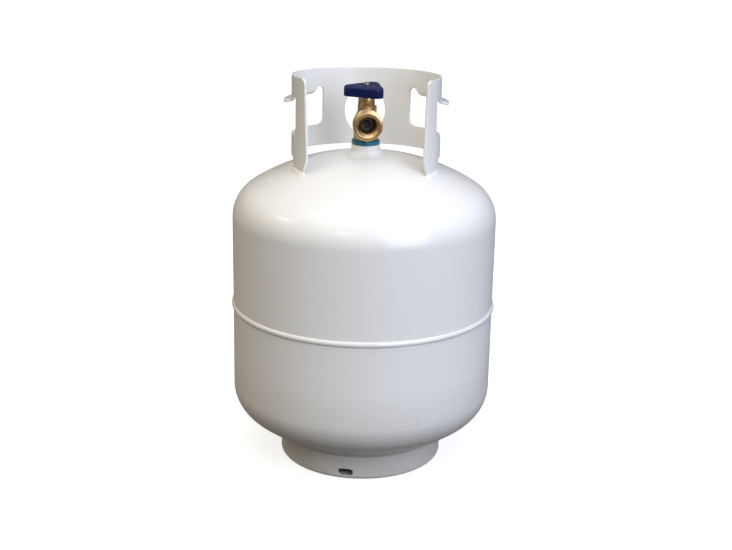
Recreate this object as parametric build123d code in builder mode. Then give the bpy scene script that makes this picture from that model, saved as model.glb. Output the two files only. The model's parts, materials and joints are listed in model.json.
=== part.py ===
from build123d import *
import os
from math import acos, atan2, cos, degrees, radians, sin, sqrt, tan

# A refillable steel propane cylinder of the 20 lb class, with its guard collar, foot ring,
# brass valve and overfill stop. Millimetres, +Z up. The origin is on the cylinder's axis at
# the underside of the foot ring. The valve outlet faces -Y.

# Pressure shell
SHELL_RADIUS = 152.5
SHELL_WALL = 2.0
UPPER_TANGENT_Z = 292.0
UPPER_CROWN = 250.0
UPPER_KNUCKLE = 42.0
LOWER_TANGENT_Z = 88.0
LOWER_CROWN = 224.0
LOWER_KNUCKLE = 41.0
SEAM_Z = 188.0
SEAM_GAP = 2.0
JOGGLE_OVERLAP = 11.0
JOGGLE_CLEARANCE = 0.1
SEAM_BEAD_HEIGHT = 7.0
SEAM_BEAD_PROUD = 2.0

# Threaded boss in the crown
BOSS_RADIUS = 16.4
BOSS_TOP_Z = 377.0
BOSS_BOTTOM_Z = 352.0
BOSS_WELD_RADIUS = 22.5
BOSS_WELD_TOP_Z = 371.0
INLET_RADIUS_TOP = 13.2
INLET_RADIUS_BOTTOM = 12.2
THREAD_CLEARANCE = 0.05

# Guard collar: angles are measured from the front (-Y), in degrees. Its heights are the ones before
# it is leaned back; it was welded on leaning a little towards the rear.
COLLAR_RADIUS = 85.0
COLLAR_SHEET = 3.0
COLLAR_TOP_Z = 455.0
COLLAR_LEAN = 3.2
COLLAR_PIVOT_Z = 360.0
POST_EDGE_LEAN = 3.2
POST_EDGE_Z = 380.0
POST_TOE_Z = 364.0
POST_TOE_LEAN = 24.0
FRONT_GAP_ANGLE = 50.8
POST_CORNER = 7.0
SKIRT_Z = 364.0
FRONT_FOOT_END = 75.0
REAR_FOOT_START = 169.0
SKIRT_CORNER = 4.0
HAND_START = 68.5
HAND_END = 142.0
HAND_BOTTOM_Z = 389.0
HAND_CORNER = 10.0
NOTCH_TOP_Z = 433.7
NOTCH_CORNER = 5.0
LIP_BEND = 2.0
LIP_TURN = 78.0
LIP_LENGTH = 7.6
LIP_CENTRE_Z = 430.3
LIP_DROP = 6.6
REAR_OVAL_WIDTH = 49.0
REAR_OVAL_HEIGHT = 57.0
REAR_OVAL_Z = 404.5
REAR_OVAL_X = -1.8
COLLAR_WELD = 5.0
SHEET_LOW_Z = 338.0
CUT_OVER = 3.0

# Foot ring
FOOT_RADIUS = 96.0
FOOT_SHEET = 3.0
FOOT_BEND = 4.0
FOOT_FLANGE = 12.0
FOOT_WELD_LOW_Z = 30.0
FOOT_BEVEL = 1.6
FOOT_TOP_Z = 36.0
FOOT_WELD_OUT = 7.0
SLOT_LENGTH = 17.5
SLOT_HEIGHT = 8.0
SLOT_Z = 8.5
SLOT_COUNT = 3
SLOT_ANGLE = -10.0

# Valve: built facing -Y, then turned a little about the cylinder's axis
VALVE_TURN = 3.5
VALVE_BASE_Z = 382.2
BASE_FLATS = 30.4
BASE_TOP_Z = 391.5
BARREL_RADIUS = 13.5
BARREL_TOP_Z = 407.0
NECK_RADIUS = 10.0
NECK_TOP_Z = 421.5
OUTLET_Z = 403.7
OUTLET_FACE = 38.0
OUTLET_MAJOR = 16.67
OUTLET_NECK = 14.2
OUTLET_THREAD_START = 21.5
OUTLET_CHAMFER = 1.7
FEMALE_RADIUS = 10.3
FEMALE_DEPTH = 16.0
MOUTH_RADIUS = 12.7
MOUTH_DEPTH = 2.4
SEAL_BORE = 8.2
SEAL_BACK = 16.5
CHECK_BORE = 7.4
CHECK_FLOOR = 7.8
PLUNGER_NOSE = 21.7
RELIEF_BARREL = 10.0
RELIEF_END = 31.0
RELIEF_BORE = 8.0
RELIEF_FLOOR = 14.0
RELIEF_LIP = 1.0
RELIEF_PORT = 3.0
CAP_FRONT = 27.0
BLEEDER_Y = 11.0
BLEEDER_Z = 414.65
BLEEDER_FACE_X = 8.9
BLEEDER_BORE = 2.4
BLEEDER_SEAT_X = 4.6
SPIGOT_RADIUS = 5.8
SPIGOT_BOTTOM_Z = 342.0
MAIN_BORE = 4.0
SEAT_BORE = 3.2
SEAT_FLOOR_Z = 391.0
SEAT_LIP_Z = 394.0
CHAMBER_RADIUS = 6.6
CARRIER_THREAD_Z = 403.0
CARRIER_BORE = 6.5
BONNET_BORE = 8.0
BONNET_BOTTOM_Z = 413.4
BONNET_TOP_Z = 432.0
BONNET_RADIUS = 9.8
BONNET_FLATS = 18.4
STEM_RADIUS = 4.0
STEM_SHOULDER_Z = 432.8
SCREW_HOLE_Z = 435.0
RUNNING_GAP = 0.05

# Handwheel
WHEEL_BOTTOM_Z = 432.4
WHEEL_TOP_Z = 444.4
LOBE_RADIUS = 8.0
LOBE_CENTRE = 18.0
LOBE_ANGLE = 34.0
LOBE_COUNT = 3
WHEEL_WALL = 2.6
WHEEL_CAVITY = 7.5
HUB_RADIUS = 7.0
SQUARE = 5.6
RECESS_RADIUS = 6.2
RECESS_DEPTH = 1.4

# Overfill stop inside the cylinder
HOUSING_RADIUS = 7.7
HOUSING_TOP_Z = 351.0
HOUSING_BOTTOM_Z = 305.0
STOP_SEAT_Z = 330.0
STOP_BORE = 4.5
STOP_LIFT = 2.7
PIVOT_Z = 293.5
PIVOT_PIN = 1.5
EAR_INNER = 3.2
EAR_OUTER = 5.7
ARM_REST = -50.0
ARM_SWING = 35.0
FINGER_REACH = 4.5
FINGER_RADIUS = 1.0
HUB_TOP = 3.0
LEG_GAP = 0.15
FLOAT_RADIUS = 10.5
FLOAT_START = 32.0
FLOAT_LENGTH = 46.0
DIP_X = 9.5
DIP_Y = 2.0
DIP_RADIUS = 1.5
DIP_BOTTOM_Z = 275.4

OUTLET_SECTION = Plane(origin=(0, 0, OUTLET_Z), x_dir=(0, -1, 0), z_dir=(-1, 0, 0))
OUTLET_AXIS = Axis((0, 0, OUTLET_Z), (0, -1, 0))
RELIEF_SECTION = Plane(origin=(0, 0, OUTLET_Z), x_dir=(0, 1, 0), z_dir=(1, 0, 0))
RELIEF_AXIS = Axis((0, 0, OUTLET_Z), (0, 1, 0))
BLEEDER_SECTION = Plane(origin=(0, BLEEDER_Y, BLEEDER_Z), x_dir=(1, 0, 0), z_dir=(0, -1, 0))
BLEEDER_AXIS = Axis((0, BLEEDER_Y, BLEEDER_Z), (1, 0, 0))


def save(part, name):
    """Name a finished piece and write it out."""
    part.label = name
    export_step(part, f"parts/{name}.step")


def save_valve(part, name):
    """Turn a piece of the valve to its place about the cylinder's axis, then write it out."""
    save(part.rotate(Axis.Z, VALVE_TURN), name)


def outline(points, plane):
    """A flat face inside a closed run of straight lines."""
    with BuildSketch(plane) as face:
        with BuildLine():
            Polyline(*points, close=True)
        make_face()
    return face.sketch


def radial_plane(angle):
    """The upright half plane at an angle from the front: its x runs outwards and its y up."""
    turn = radians(angle - 90)
    return Plane(origin=(0, 0, 0), x_dir=(cos(turn), sin(turn), 0), z_dir=(sin(turn), -cos(turn), 0))


def sector(angle, sweep, inner, outer, low, high):
    """A block of a ring between two angles from the front."""
    with BuildPart() as block:
        revolve(
            outline([(inner, low), (outer, low), (outer, high), (inner, high)], radial_plane(angle)),
            axis=Axis.Z,
            revolution_arc=sweep,
        )
    return block.part


def facing_plane(angle, distance):
    """The upright plane that faces outwards at an angle from the front, with its y upwards."""
    turn = radians(angle - 90)
    outwards = Vector(cos(turn), sin(turn), 0)
    return Plane(origin=outwards * distance, x_dir=(-sin(turn), cos(turn), 0), z_dir=outwards)


# ---------------------------------------------------------------- pressure shell


def head_skin(inset, knuckle, crown, tangent_z, way, hole):
    """One skin of a dished head, from its tangent line to the hole in its crown."""
    knuckle_x = SHELL_RADIUS - knuckle
    drop = sqrt((crown - knuckle) ** 2 - knuckle_x**2)
    turn = degrees(atan2(drop, knuckle_x))
    top = degrees(acos(hole / (crown - inset)))
    low = CenterArc((knuckle_x, tangent_z), knuckle - inset, 0, way * turn)
    high = CenterArc((0, tangent_z - way * drop), crown - inset, way * turn, way * (top - turn))
    return low @ 0, high @ 1


def crown_centre(crown, knuckle, tangent_z, way):
    """Height of the centre of a head's crown arc."""
    return tangent_z - way * sqrt((crown - knuckle) ** 2 - (SHELL_RADIUS - knuckle) ** 2)


def make_upper_shell():
    """Upper head and its straight wall, down to the girth seam, with the hole for the boss."""
    hole = BOSS_RADIUS + THREAD_CLEARANCE
    head = (UPPER_KNUCKLE, UPPER_CROWN, UPPER_TANGENT_Z, 1, hole)
    rim_z = SEAM_Z + SEAM_GAP / 2
    with BuildPart() as shell:
        with BuildSketch(Plane.XZ):
            with BuildLine():
                outer_low, outer_high = head_skin(0, *head)
                inner_low, inner_high = head_skin(SHELL_WALL, *head)
                Line(outer_high, inner_high)
                Polyline(
                    outer_low,
                    (SHELL_RADIUS, rim_z),
                    (SHELL_RADIUS - SHELL_WALL, rim_z),
                    inner_low,
                )
            make_face()
        revolve(axis=Axis.Z)
    return shell.part


def make_lower_shell():
    """Lower head, with its rim joggled inwards so that it enters the upper shell."""
    head = (LOWER_KNUCKLE, LOWER_CROWN, LOWER_TANGENT_Z, -1, 0)
    inside = SHELL_RADIUS - SHELL_WALL
    rim_outer = inside - JOGGLE_CLEARANCE
    rim_inner = rim_outer - SHELL_WALL
    shoulder_z = SEAM_Z - SEAM_GAP / 2
    step = SHELL_WALL
    rim_z = shoulder_z + JOGGLE_OVERLAP
    with BuildPart() as shell:
        with BuildSketch(Plane.XZ):
            with BuildLine():
                outer_low, outer_high = head_skin(0, *head)
                inner_low, inner_high = head_skin(SHELL_WALL, *head)
                Line(outer_high, inner_high)
                Polyline(
                    outer_low,
                    (SHELL_RADIUS, shoulder_z - step),
                    (rim_outer, shoulder_z),
                    (rim_outer, rim_z),
                    (rim_inner, rim_z),
                    (rim_inner, shoulder_z - step / 2),
                    (inside, shoulder_z - 1.5 * step),
                    inner_low,
                )
            make_face()
        revolve(axis=Axis.Z)
    return shell.part


def make_girth_weld(upper, lower):
    """The crowned bead that fills the seam groove, cut to fit the two shells."""
    half = SEAM_BEAD_HEIGHT / 2
    root = SHELL_RADIUS - SHELL_WALL
    with BuildPart() as weld:
        with BuildSketch(Plane.XZ):
            with BuildLine():
                ThreePointArc(
                    (SHELL_RADIUS, SEAM_Z - half),
                    (SHELL_RADIUS + SEAM_BEAD_PROUD, SEAM_Z),
                    (SHELL_RADIUS, SEAM_Z + half),
                )
                Polyline(
                    (SHELL_RADIUS, SEAM_Z + half),
                    (root, SEAM_Z + SEAM_GAP / 2),
                    (root, SEAM_Z - SEAM_GAP / 2),
                    (SHELL_RADIUS, SEAM_Z - half),
                )
            make_face()
        revolve(axis=Axis.Z)
        add(upper, mode=Mode.SUBTRACT)
        add(lower, mode=Mode.SUBTRACT)
    return weld.part


def make_valve_boss():
    """The threaded boss: a short thick tube with a tapered bore."""
    with BuildPart() as boss:
        revolve(
            outline(
                [
                    (INLET_RADIUS_BOTTOM + THREAD_CLEARANCE, BOSS_BOTTOM_Z),
                    (BOSS_RADIUS, BOSS_BOTTOM_Z),
                    (BOSS_RADIUS, BOSS_TOP_Z - 1.0),
                    (BOSS_RADIUS - 1.0, BOSS_TOP_Z),
                    (INLET_RADIUS_TOP + THREAD_CLEARANCE, BOSS_TOP_Z),
                ],
                Plane.XZ,
            ),
            axis=Axis.Z,
        )
    return boss.part


def make_boss_weld(upper, boss):
    """The hollow-faced fillet bead round the boss."""
    toe_z = crown_centre(UPPER_CROWN, UPPER_KNUCKLE, UPPER_TANGENT_Z, 1) + sqrt(
        UPPER_CROWN**2 - BOSS_WELD_RADIUS**2
    )
    with BuildPart() as weld:
        with BuildSketch(Plane.XZ):
            with BuildLine():
                ThreePointArc(
                    (BOSS_RADIUS, BOSS_WELD_TOP_Z),
                    (BOSS_RADIUS + 2.1, toe_z + 2.2),
                    (BOSS_WELD_RADIUS, toe_z),
                )
                Polyline(
                    (BOSS_WELD_RADIUS, toe_z),
                    (BOSS_RADIUS, toe_z - 1.0),
                    (BOSS_RADIUS, BOSS_WELD_TOP_Z),
                )
            make_face()
        revolve(axis=Axis.Z)
        add(upper, mode=Mode.SUBTRACT)
        add(boss, mode=Mode.SUBTRACT)
    return weld.part


# ---------------------------------------------------------------- guard collar


def hand_opening_end():
    """Outline of one end of a hand opening: rounded below, and above it a notch that frees the lip."""
    centre_z = HAND_BOTTOM_Z + HAND_CORNER
    notch_z = NOTCH_TOP_Z - NOTCH_CORNER
    lip_bottom_z = LIP_CENTRE_Z - LIP_DROP - 0.3
    with BuildSketch() as end:
        with BuildLine():
            Line((-14, HAND_BOTTOM_Z), (0, HAND_BOTTOM_Z))
            RadiusArc((0, HAND_BOTTOM_Z), (HAND_CORNER, centre_z), -HAND_CORNER)
            Line((HAND_CORNER, centre_z), (HAND_CORNER, notch_z))
            RadiusArc((HAND_CORNER, notch_z), (HAND_CORNER - NOTCH_CORNER, NOTCH_TOP_Z), -NOTCH_CORNER)
            Polyline(
                (HAND_CORNER - NOTCH_CORNER, NOTCH_TOP_Z),
                (2, NOTCH_TOP_Z),
                (-8, lip_bottom_z),
                (-14, lip_bottom_z),
                (-14, HAND_BOTTOM_Z),
            )
        make_face()
    return end.sketch


def cut_hand_opening_end(angle, flip):
    """The solid that cuts one end of a hand opening through sheet and lip."""
    shape = hand_opening_end()
    if flip:
        shape = mirror(shape, about=Plane.YZ, mode=Mode.PRIVATE)
    with BuildPart() as cutter:
        with BuildSketch(facing_plane(angle, COLLAR_RADIUS - 8)):
            add(shape)
        extrude(amount=22)
    return cutter.part


def lip_profile(angle):
    """Section of the lip: the sheet bent outwards over the fingers, with a straight sloping end."""
    centre_x = COLLAR_RADIUS + LIP_BEND
    outer = LIP_BEND + COLLAR_SHEET
    slope = radians(90 - LIP_TURN)
    along = (LIP_LENGTH * cos(slope), -LIP_LENGTH * sin(slope))
    low = (centre_x - outer * sin(slope), LIP_CENTRE_Z - outer * cos(slope))
    high = (centre_x - LIP_BEND * sin(slope), LIP_CENTRE_Z - LIP_BEND * cos(slope))
    with BuildSketch(radial_plane(angle)) as section:
        with BuildLine():
            CenterArc((centre_x, LIP_CENTRE_Z), outer, 180, LIP_TURN)
            Polyline(
                low,
                (low[0] + along[0], low[1] + along[1]),
                (high[0] + along[0], high[1] + along[1]),
                high,
            )
            CenterArc((centre_x, LIP_CENTRE_Z), LIP_BEND, 180 + LIP_TURN, -LIP_TURN)
            Line((COLLAR_RADIUS, LIP_CENTRE_Z), (COLLAR_RADIUS - COLLAR_SHEET, LIP_CENTRE_Z))
        make_face()
    return section.sketch


def cut_post_edge(side):
    """The solid that trims a post's front edge, which leans back towards its top and at its toe."""
    top = COLLAR_TOP_Z + CUT_OVER
    low = SHEET_LOW_Z - CUT_OVER
    top_x = tan(radians(POST_EDGE_LEAN)) * (top - POST_EDGE_Z)
    toe_x = tan(radians(POST_TOE_LEAN)) * (POST_TOE_Z - low)
    with BuildPart() as cutter:
        with BuildSketch(facing_plane(side * FRONT_GAP_ANGLE, COLLAR_RADIUS - 10)):
            with BuildLine():
                Polyline(
                    (-side * CUT_OVER, low),
                    (side * toe_x, low),
                    (0, POST_TOE_Z),
                    (0, POST_EDGE_Z),
                    (side * top_x, top),
                    (-side * CUT_OVER, top),
                    (-side * CUT_OVER, low),
                )
            make_face()
        extrude(amount=20)
    return cutter.part


def make_collar():
    """The guard collar, one sheet: feet, raised skirt, two hand openings with lips, rear oval."""
    inner = COLLAR_RADIUS - COLLAR_SHEET
    cut_inner = inner - CUT_OVER
    cut_outer = COLLAR_RADIUS + CUT_OVER
    cut_low = SHEET_LOW_Z - CUT_OVER
    corner_angle = degrees(HAND_CORNER / (COLLAR_RADIUS - COLLAR_SHEET / 2))
    end_angles = (HAND_START + corner_angle, HAND_END - corner_angle)
    crown_z = crown_centre(UPPER_CROWN, UPPER_KNUCKLE, UPPER_TANGENT_Z, 1)
    with BuildPart() as collar:
        with BuildSketch(Plane.XY.offset(SHEET_LOW_Z)):
            Circle(COLLAR_RADIUS)
            Circle(inner, mode=Mode.SUBTRACT)
        extrude(amount=COLLAR_TOP_Z - SHEET_LOW_Z)
        # the open front, between the two posts
        gap = (-FRONT_GAP_ANGLE, 2 * FRONT_GAP_ANGLE)
        add(sector(*gap, cut_inner, cut_outer, cut_low, COLLAR_TOP_Z + CUT_OVER), mode=Mode.SUBTRACT)
        for side in (1, -1):
            add(cut_post_edge(side), mode=Mode.SUBTRACT)
        post_corners = [
            edge
            for edge in collar.edges().filter_by(GeomType.LINE)
            if edge.center().Z > COLLAR_TOP_Z - 0.1
        ]
        fillet(post_corners, POST_CORNER)
        for side in (1, -1):
            skirt_start = FRONT_FOOT_END if side == 1 else -REAR_FOOT_START
            skirt = (skirt_start, REAR_FOOT_START - FRONT_FOOT_END)
            add(sector(*skirt, cut_inner, cut_outer, cut_low, SKIRT_Z), mode=Mode.SUBTRACT)
            opening_start = end_angles[0] if side == 1 else -end_angles[1]
            opening = (opening_start, end_angles[1] - end_angles[0])
            add(sector(*opening, cut_inner, cut_outer, HAND_BOTTOM_Z, LIP_CENTRE_Z), mode=Mode.SUBTRACT)
            revolve(
                lip_profile(opening_start),
                axis=Axis.Z,
                revolution_arc=end_angles[1] - end_angles[0],
            )
            add(cut_hand_opening_end(side * end_angles[1], side == -1), mode=Mode.SUBTRACT)
            add(cut_hand_opening_end(side * end_angles[0], side == 1), mode=Mode.SUBTRACT)
        # the oval at the back
        with BuildSketch(facing_plane(180, inner - 5)):
            with Locations((-REAR_OVAL_X, REAR_OVAL_Z)):
                Ellipse(REAR_OVAL_WIDTH / 2, REAR_OVAL_HEIGHT / 2)
        extrude(amount=20, mode=Mode.SUBTRACT)
        skirt_corners = [
            edge
            for edge in collar.edges().filter_by(GeomType.LINE)
            if abs(edge.center().Z - SKIRT_Z) < 0.1
        ]
        fillet(skirt_corners, SKIRT_CORNER)
    # leaned back, then its feet are cut to stand on the crown
    pivot = Axis((0, 0, COLLAR_PIVOT_Z), (1, 0, 0))
    with BuildPart() as fitted:
        add(collar.part.rotate(pivot, -COLLAR_LEAN))
        with Locations((0, 0, crown_z)):
            Sphere(UPPER_CROWN + THREAD_CLEARANCE, mode=Mode.SUBTRACT)
    return fitted.part


def make_collar_welds(upper, collar):
    """Three fillet beads along the outside of the collar's feet."""
    crown_z = crown_centre(UPPER_CROWN, UPPER_KNUCKLE, UPPER_TANGENT_Z, 1)
    toe = COLLAR_RADIUS + COLLAR_WELD
    toe_z = crown_z + sqrt(UPPER_CROWN**2 - toe**2)
    foot_z = crown_z + sqrt(UPPER_CROWN**2 - COLLAR_RADIUS**2)
    rear_sweep = 2 * (180 - REAR_FOOT_START) - 4
    front_sweep = FRONT_FOOT_END - FRONT_GAP_ANGLE - 6
    beads = [
        (FRONT_GAP_ANGLE + 4, front_sweep),
        (REAR_FOOT_START + 2, rear_sweep),
        (-FRONT_GAP_ANGLE - 4 - front_sweep, front_sweep),
    ]
    with BuildPart() as welds:
        for start, sweep in beads:
            revolve(
                outline(
                    [
                        (COLLAR_RADIUS - 1, foot_z - 1),
                        (toe, toe_z - 1),
                        (toe, toe_z),
                        (COLLAR_RADIUS + 2.0, foot_z + 2.5),
                        (COLLAR_RADIUS, foot_z + COLLAR_WELD),
                        (COLLAR_RADIUS - 1, foot_z + COLLAR_WELD),
                    ],
                    radial_plane(start),
                ),
                axis=Axis.Z,
                revolution_arc=sweep,
            )
        add(upper, mode=Mode.SUBTRACT)
        add(collar, mode=Mode.SUBTRACT)
    return welds.part


# ---------------------------------------------------------------- foot ring


def make_foot_ring():
    """Rolled ring with an inward flange at the bottom and slots that drain and vent it."""
    inner = FOOT_RADIUS - FOOT_SHEET
    flange_inner = inner - FOOT_FLANGE
    crown_z = crown_centre(LOWER_CROWN, LOWER_KNUCKLE, LOWER_TANGENT_Z, -1)
    bend = FOOT_BEND
    with BuildPart() as ring:
        with BuildSketch(Plane.XZ):
            with BuildLine():
                Polyline(
                    (FOOT_RADIUS, bend),
                    (FOOT_RADIUS, FOOT_WELD_LOW_Z),
                    (FOOT_RADIUS - FOOT_BEVEL, FOOT_TOP_Z - 4),
                    (FOOT_RADIUS - FOOT_BEVEL, FOOT_TOP_Z),
                    (inner, FOOT_TOP_Z),
                    (inner, bend),
                )
                CenterArc((FOOT_RADIUS - bend, bend), bend - FOOT_SHEET, 0, -90)
                Polyline(
                    (FOOT_RADIUS - bend, FOOT_SHEET),
                    (flange_inner, FOOT_SHEET),
                    (flange_inner, 0),
                    (FOOT_RADIUS - bend, 0),
                )
                CenterArc((FOOT_RADIUS - bend, bend), bend, -90, 90)
            make_face()
        revolve(axis=Axis.Z)
        for index in range(SLOT_COUNT):
            with BuildSketch(facing_plane(SLOT_ANGLE + index * 360 / SLOT_COUNT, inner - 4)):
                with Locations((0, SLOT_Z)):
                    SlotOverall(SLOT_LENGTH, SLOT_HEIGHT)
            extrude(amount=12, mode=Mode.SUBTRACT)
        with Locations((0, 0, crown_z)):
            Sphere(LOWER_CROWN + THREAD_CLEARANCE, mode=Mode.SUBTRACT)
    return ring.part


def make_foot_ring_weld(lower, ring):
    """The bead round the outside of the ring, where it meets the lower head."""
    crown_z = crown_centre(LOWER_CROWN, LOWER_KNUCKLE, LOWER_TANGENT_Z, -1)
    toe = FOOT_RADIUS + FOOT_WELD_OUT
    toe_z = crown_z - sqrt(LOWER_CROWN**2 - toe**2)
    with BuildPart() as weld:
        with BuildSketch(Plane.XZ):
            with BuildLine():
                ThreePointArc(
                    (FOOT_RADIUS, FOOT_WELD_LOW_Z),
                    (FOOT_RADIUS + 3.0, FOOT_WELD_LOW_Z + 1.6),
                    (toe, toe_z),
                )
                Polyline(
                    (toe, toe_z),
                    (toe, toe_z + 1.5),
                    (FOOT_RADIUS - 1, FOOT_TOP_Z - 4),
                    (FOOT_RADIUS - 1, FOOT_WELD_LOW_Z),
                    (FOOT_RADIUS, FOOT_WELD_LOW_Z),
                )
            make_face()
        revolve(axis=Axis.Z)
        add(lower, mode=Mode.SUBTRACT)
        add(ring, mode=Mode.SUBTRACT)
    return weld.part


# ---------------------------------------------------------------- valve body and bonnet


def make_valve_body():
    """The brass forging: wrench base, inlet, neck, outlet, relief barrel and bleeder boss."""
    with BuildPart() as body:
        with BuildSketch(Plane.XY.offset(VALVE_BASE_Z)):
            RegularPolygon(BASE_FLATS / 2, 8, major_radius=False, rotation=22.5)
        extrude(amount=BASE_TOP_Z - VALVE_BASE_Z)
        chamfer(body.faces().sort_by(Axis.Z)[-1].edges(), 0.8)
        # inlet shank, barrel and neck
        revolve(
            outline(
                [
                    (0, SPIGOT_BOTTOM_Z),
                    (SPIGOT_RADIUS, SPIGOT_BOTTOM_Z),
                    (SPIGOT_RADIUS, BOSS_BOTTOM_Z),
                    (INLET_RADIUS_BOTTOM, BOSS_BOTTOM_Z),
                    (INLET_RADIUS_TOP, BOSS_TOP_Z),
                    (INLET_RADIUS_TOP, VALVE_BASE_Z + 1),
                    (BARREL_RADIUS, VALVE_BASE_Z + 1),
                    (BARREL_RADIUS, BARREL_TOP_Z - 2),
                    (BARREL_RADIUS - 2, BARREL_TOP_Z),
                    (NECK_RADIUS + 1, BARREL_TOP_Z + 0.5),
                    (NECK_RADIUS, BARREL_TOP_Z + 2),
                    (NECK_RADIUS, NECK_TOP_Z - 0.5),
                    (NECK_RADIUS - 0.5, NECK_TOP_Z),
                    (0, NECK_TOP_Z),
                ],
                Plane.XZ,
            ),
            axis=Axis.Z,
        )
        # outlet barrel, with its outside thread at full diameter
        revolve(
            outline(
                [
                    (0, 0),
                    (0, OUTLET_NECK),
                    (OUTLET_THREAD_START - 1.5, OUTLET_NECK),
                    (OUTLET_THREAD_START, OUTLET_MAJOR),
                    (OUTLET_FACE - OUTLET_CHAMFER, OUTLET_MAJOR),
                    (OUTLET_FACE, OUTLET_MAJOR - OUTLET_CHAMFER),
                    (OUTLET_FACE, 0),
                ],
                OUTLET_SECTION,
            ),
            axis=OUTLET_AXIS,
        )
        # relief barrel
        revolve(
            outline(
                [
                    (0, 0),
                    (0, RELIEF_BARREL),
                    (RELIEF_END - 1, RELIEF_BARREL),
                    (RELIEF_END, RELIEF_BARREL - 1),
                    (RELIEF_END, 0),
                ],
                RELIEF_SECTION,
            ),
            axis=RELIEF_AXIS,
        )
        # bleeder boss
        revolve(
            outline([(0, 0), (0, 5.4), (8.4, 5.4), (8.9, 4.9), (8.9, 0)], BLEEDER_SECTION),
            axis=BLEEDER_AXIS,
        )
        # main passage, seat chamber, carrier thread and bonnet thread
        revolve(
            outline(
                [
                    (0, SPIGOT_BOTTOM_Z - 1),
                    (MAIN_BORE, SPIGOT_BOTTOM_Z - 1),
                    (MAIN_BORE, SEAT_FLOOR_Z - 6),
                    (SEAT_BORE, SEAT_FLOOR_Z - 5),
                    (SEAT_BORE, SEAT_LIP_Z),
                    (SEAT_BORE + 1, SEAT_LIP_Z),
                    (SEAT_BORE + 1.4, SEAT_FLOOR_Z),
                    (CHAMBER_RADIUS, SEAT_FLOOR_Z),
                    (CHAMBER_RADIUS, CARRIER_THREAD_Z),
                    (CARRIER_BORE, CARRIER_THREAD_Z),
                    (CARRIER_BORE, BONNET_BOTTOM_Z - 0.2),
                    (BONNET_BORE, BONNET_BOTTOM_Z - 0.2),
                    (BONNET_BORE, NECK_TOP_Z + 1),
                    (0, NECK_TOP_Z + 1),
                ],
                Plane.XZ,
            ),
            axis=Axis.Z,
            mode=Mode.SUBTRACT,
        )
        # outlet bore: mouth, inside thread, seal bore and check chamber
        revolve(
            outline(
                [
                    (CHECK_FLOOR, 0),
                    (CHECK_FLOOR, CHECK_BORE),
                    (SEAL_BACK, CHECK_BORE),
                    (SEAL_BACK, SEAL_BORE),
                    (OUTLET_FACE - FEMALE_DEPTH - 2, SEAL_BORE),
                    (OUTLET_FACE - FEMALE_DEPTH, FEMALE_RADIUS),
                    (OUTLET_FACE - MOUTH_DEPTH, FEMALE_RADIUS),
                    (OUTLET_FACE, MOUTH_RADIUS),
                    (OUTLET_FACE + 1, MOUTH_RADIUS),
                    (OUTLET_FACE + 1, 0),
                ],
                OUTLET_SECTION,
            ),
            axis=OUTLET_AXIS,
            mode=Mode.SUBTRACT,
        )
        # port from the seat chamber to the check chamber
        with BuildSketch(Plane.XZ.offset(CHAMBER_RADIUS - 2)):
            with Locations((0, OUTLET_Z - 6)):
                Circle(2.8)
        extrude(amount=4, mode=Mode.SUBTRACT)
        # relief chamber round its raised seat lip, and its port
        revolve(
            outline(
                [
                    (RELIEF_FLOOR, RELIEF_PORT + 1.6),
                    (RELIEF_FLOOR, RELIEF_BORE),
                    (RELIEF_END + 1, RELIEF_BORE),
                    (RELIEF_END + 1, 0),
                    (RELIEF_FLOOR - 5, 0),
                    (RELIEF_FLOOR - 5, RELIEF_PORT),
                    (RELIEF_FLOOR + RELIEF_LIP, RELIEF_PORT),
                    (RELIEF_FLOOR + RELIEF_LIP, RELIEF_PORT + 1.2),
                ],
                RELIEF_SECTION,
            ),
            axis=RELIEF_AXIS,
            mode=Mode.SUBTRACT,
        )
        # relief passage down to the vapour space
        with BuildSketch(Plane.XY.offset(BOSS_BOTTOM_Z - 1)):
            with Locations((0, 10)):
                Circle(1.8)
        extrude(amount=OUTLET_Z - BOSS_BOTTOM_Z + 1, mode=Mode.SUBTRACT)
        # dip tube socket and the drilling from it to the bleeder seat
        with BuildSketch(Plane.XY.offset(BOSS_BOTTOM_Z - 1)):
            with Locations((DIP_X, DIP_Y)):
                Circle(DIP_RADIUS + RUNNING_GAP)
        extrude(amount=11, mode=Mode.SUBTRACT)
        drilling = Vector(3.4, BLEEDER_Y, BLEEDER_Z) - Vector(DIP_X, DIP_Y, BOSS_BOTTOM_Z + 8)
        with BuildSketch(Plane(origin=(DIP_X, DIP_Y, BOSS_BOTTOM_Z + 8), z_dir=drilling)):
            Circle(0.7)
        extrude(amount=drilling.length, mode=Mode.SUBTRACT)
        # bleeder bore, with a conical seat
        revolve(
            outline(
                [
                    (2.4, 0),
                    (2.4, 0.8),
                    (3.0, 0.8),
                    (BLEEDER_SEAT_X, BLEEDER_BORE),
                    (10.0, BLEEDER_BORE),
                    (10.0, 0),
                ],
                BLEEDER_SECTION,
            ),
            axis=BLEEDER_AXIS,
            mode=Mode.SUBTRACT,
        )
    return body.part


def make_thread_sealant():
    """The thick ring of sealant left on the exposed inlet thread, between boss and valve."""
    inner = INLET_RADIUS_TOP + THREAD_CLEARANCE
    with BuildPart() as sealant:
        revolve(
            outline(
                [
                    (inner, BOSS_TOP_Z + 0.1),
                    (15.2, BOSS_TOP_Z + 0.1),
                    (15.7, BOSS_TOP_Z + 0.8),
                    (15.8, BOSS_TOP_Z + 3.2),
                    (15.9, VALVE_BASE_Z - 0.9),
                    (15.4, VALVE_BASE_Z - 0.1),
                    (inner, VALVE_BASE_Z - 0.1),
                ],
                Plane.XZ,
            ),
            axis=Axis.Z,
        )
    return sealant.part


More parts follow.
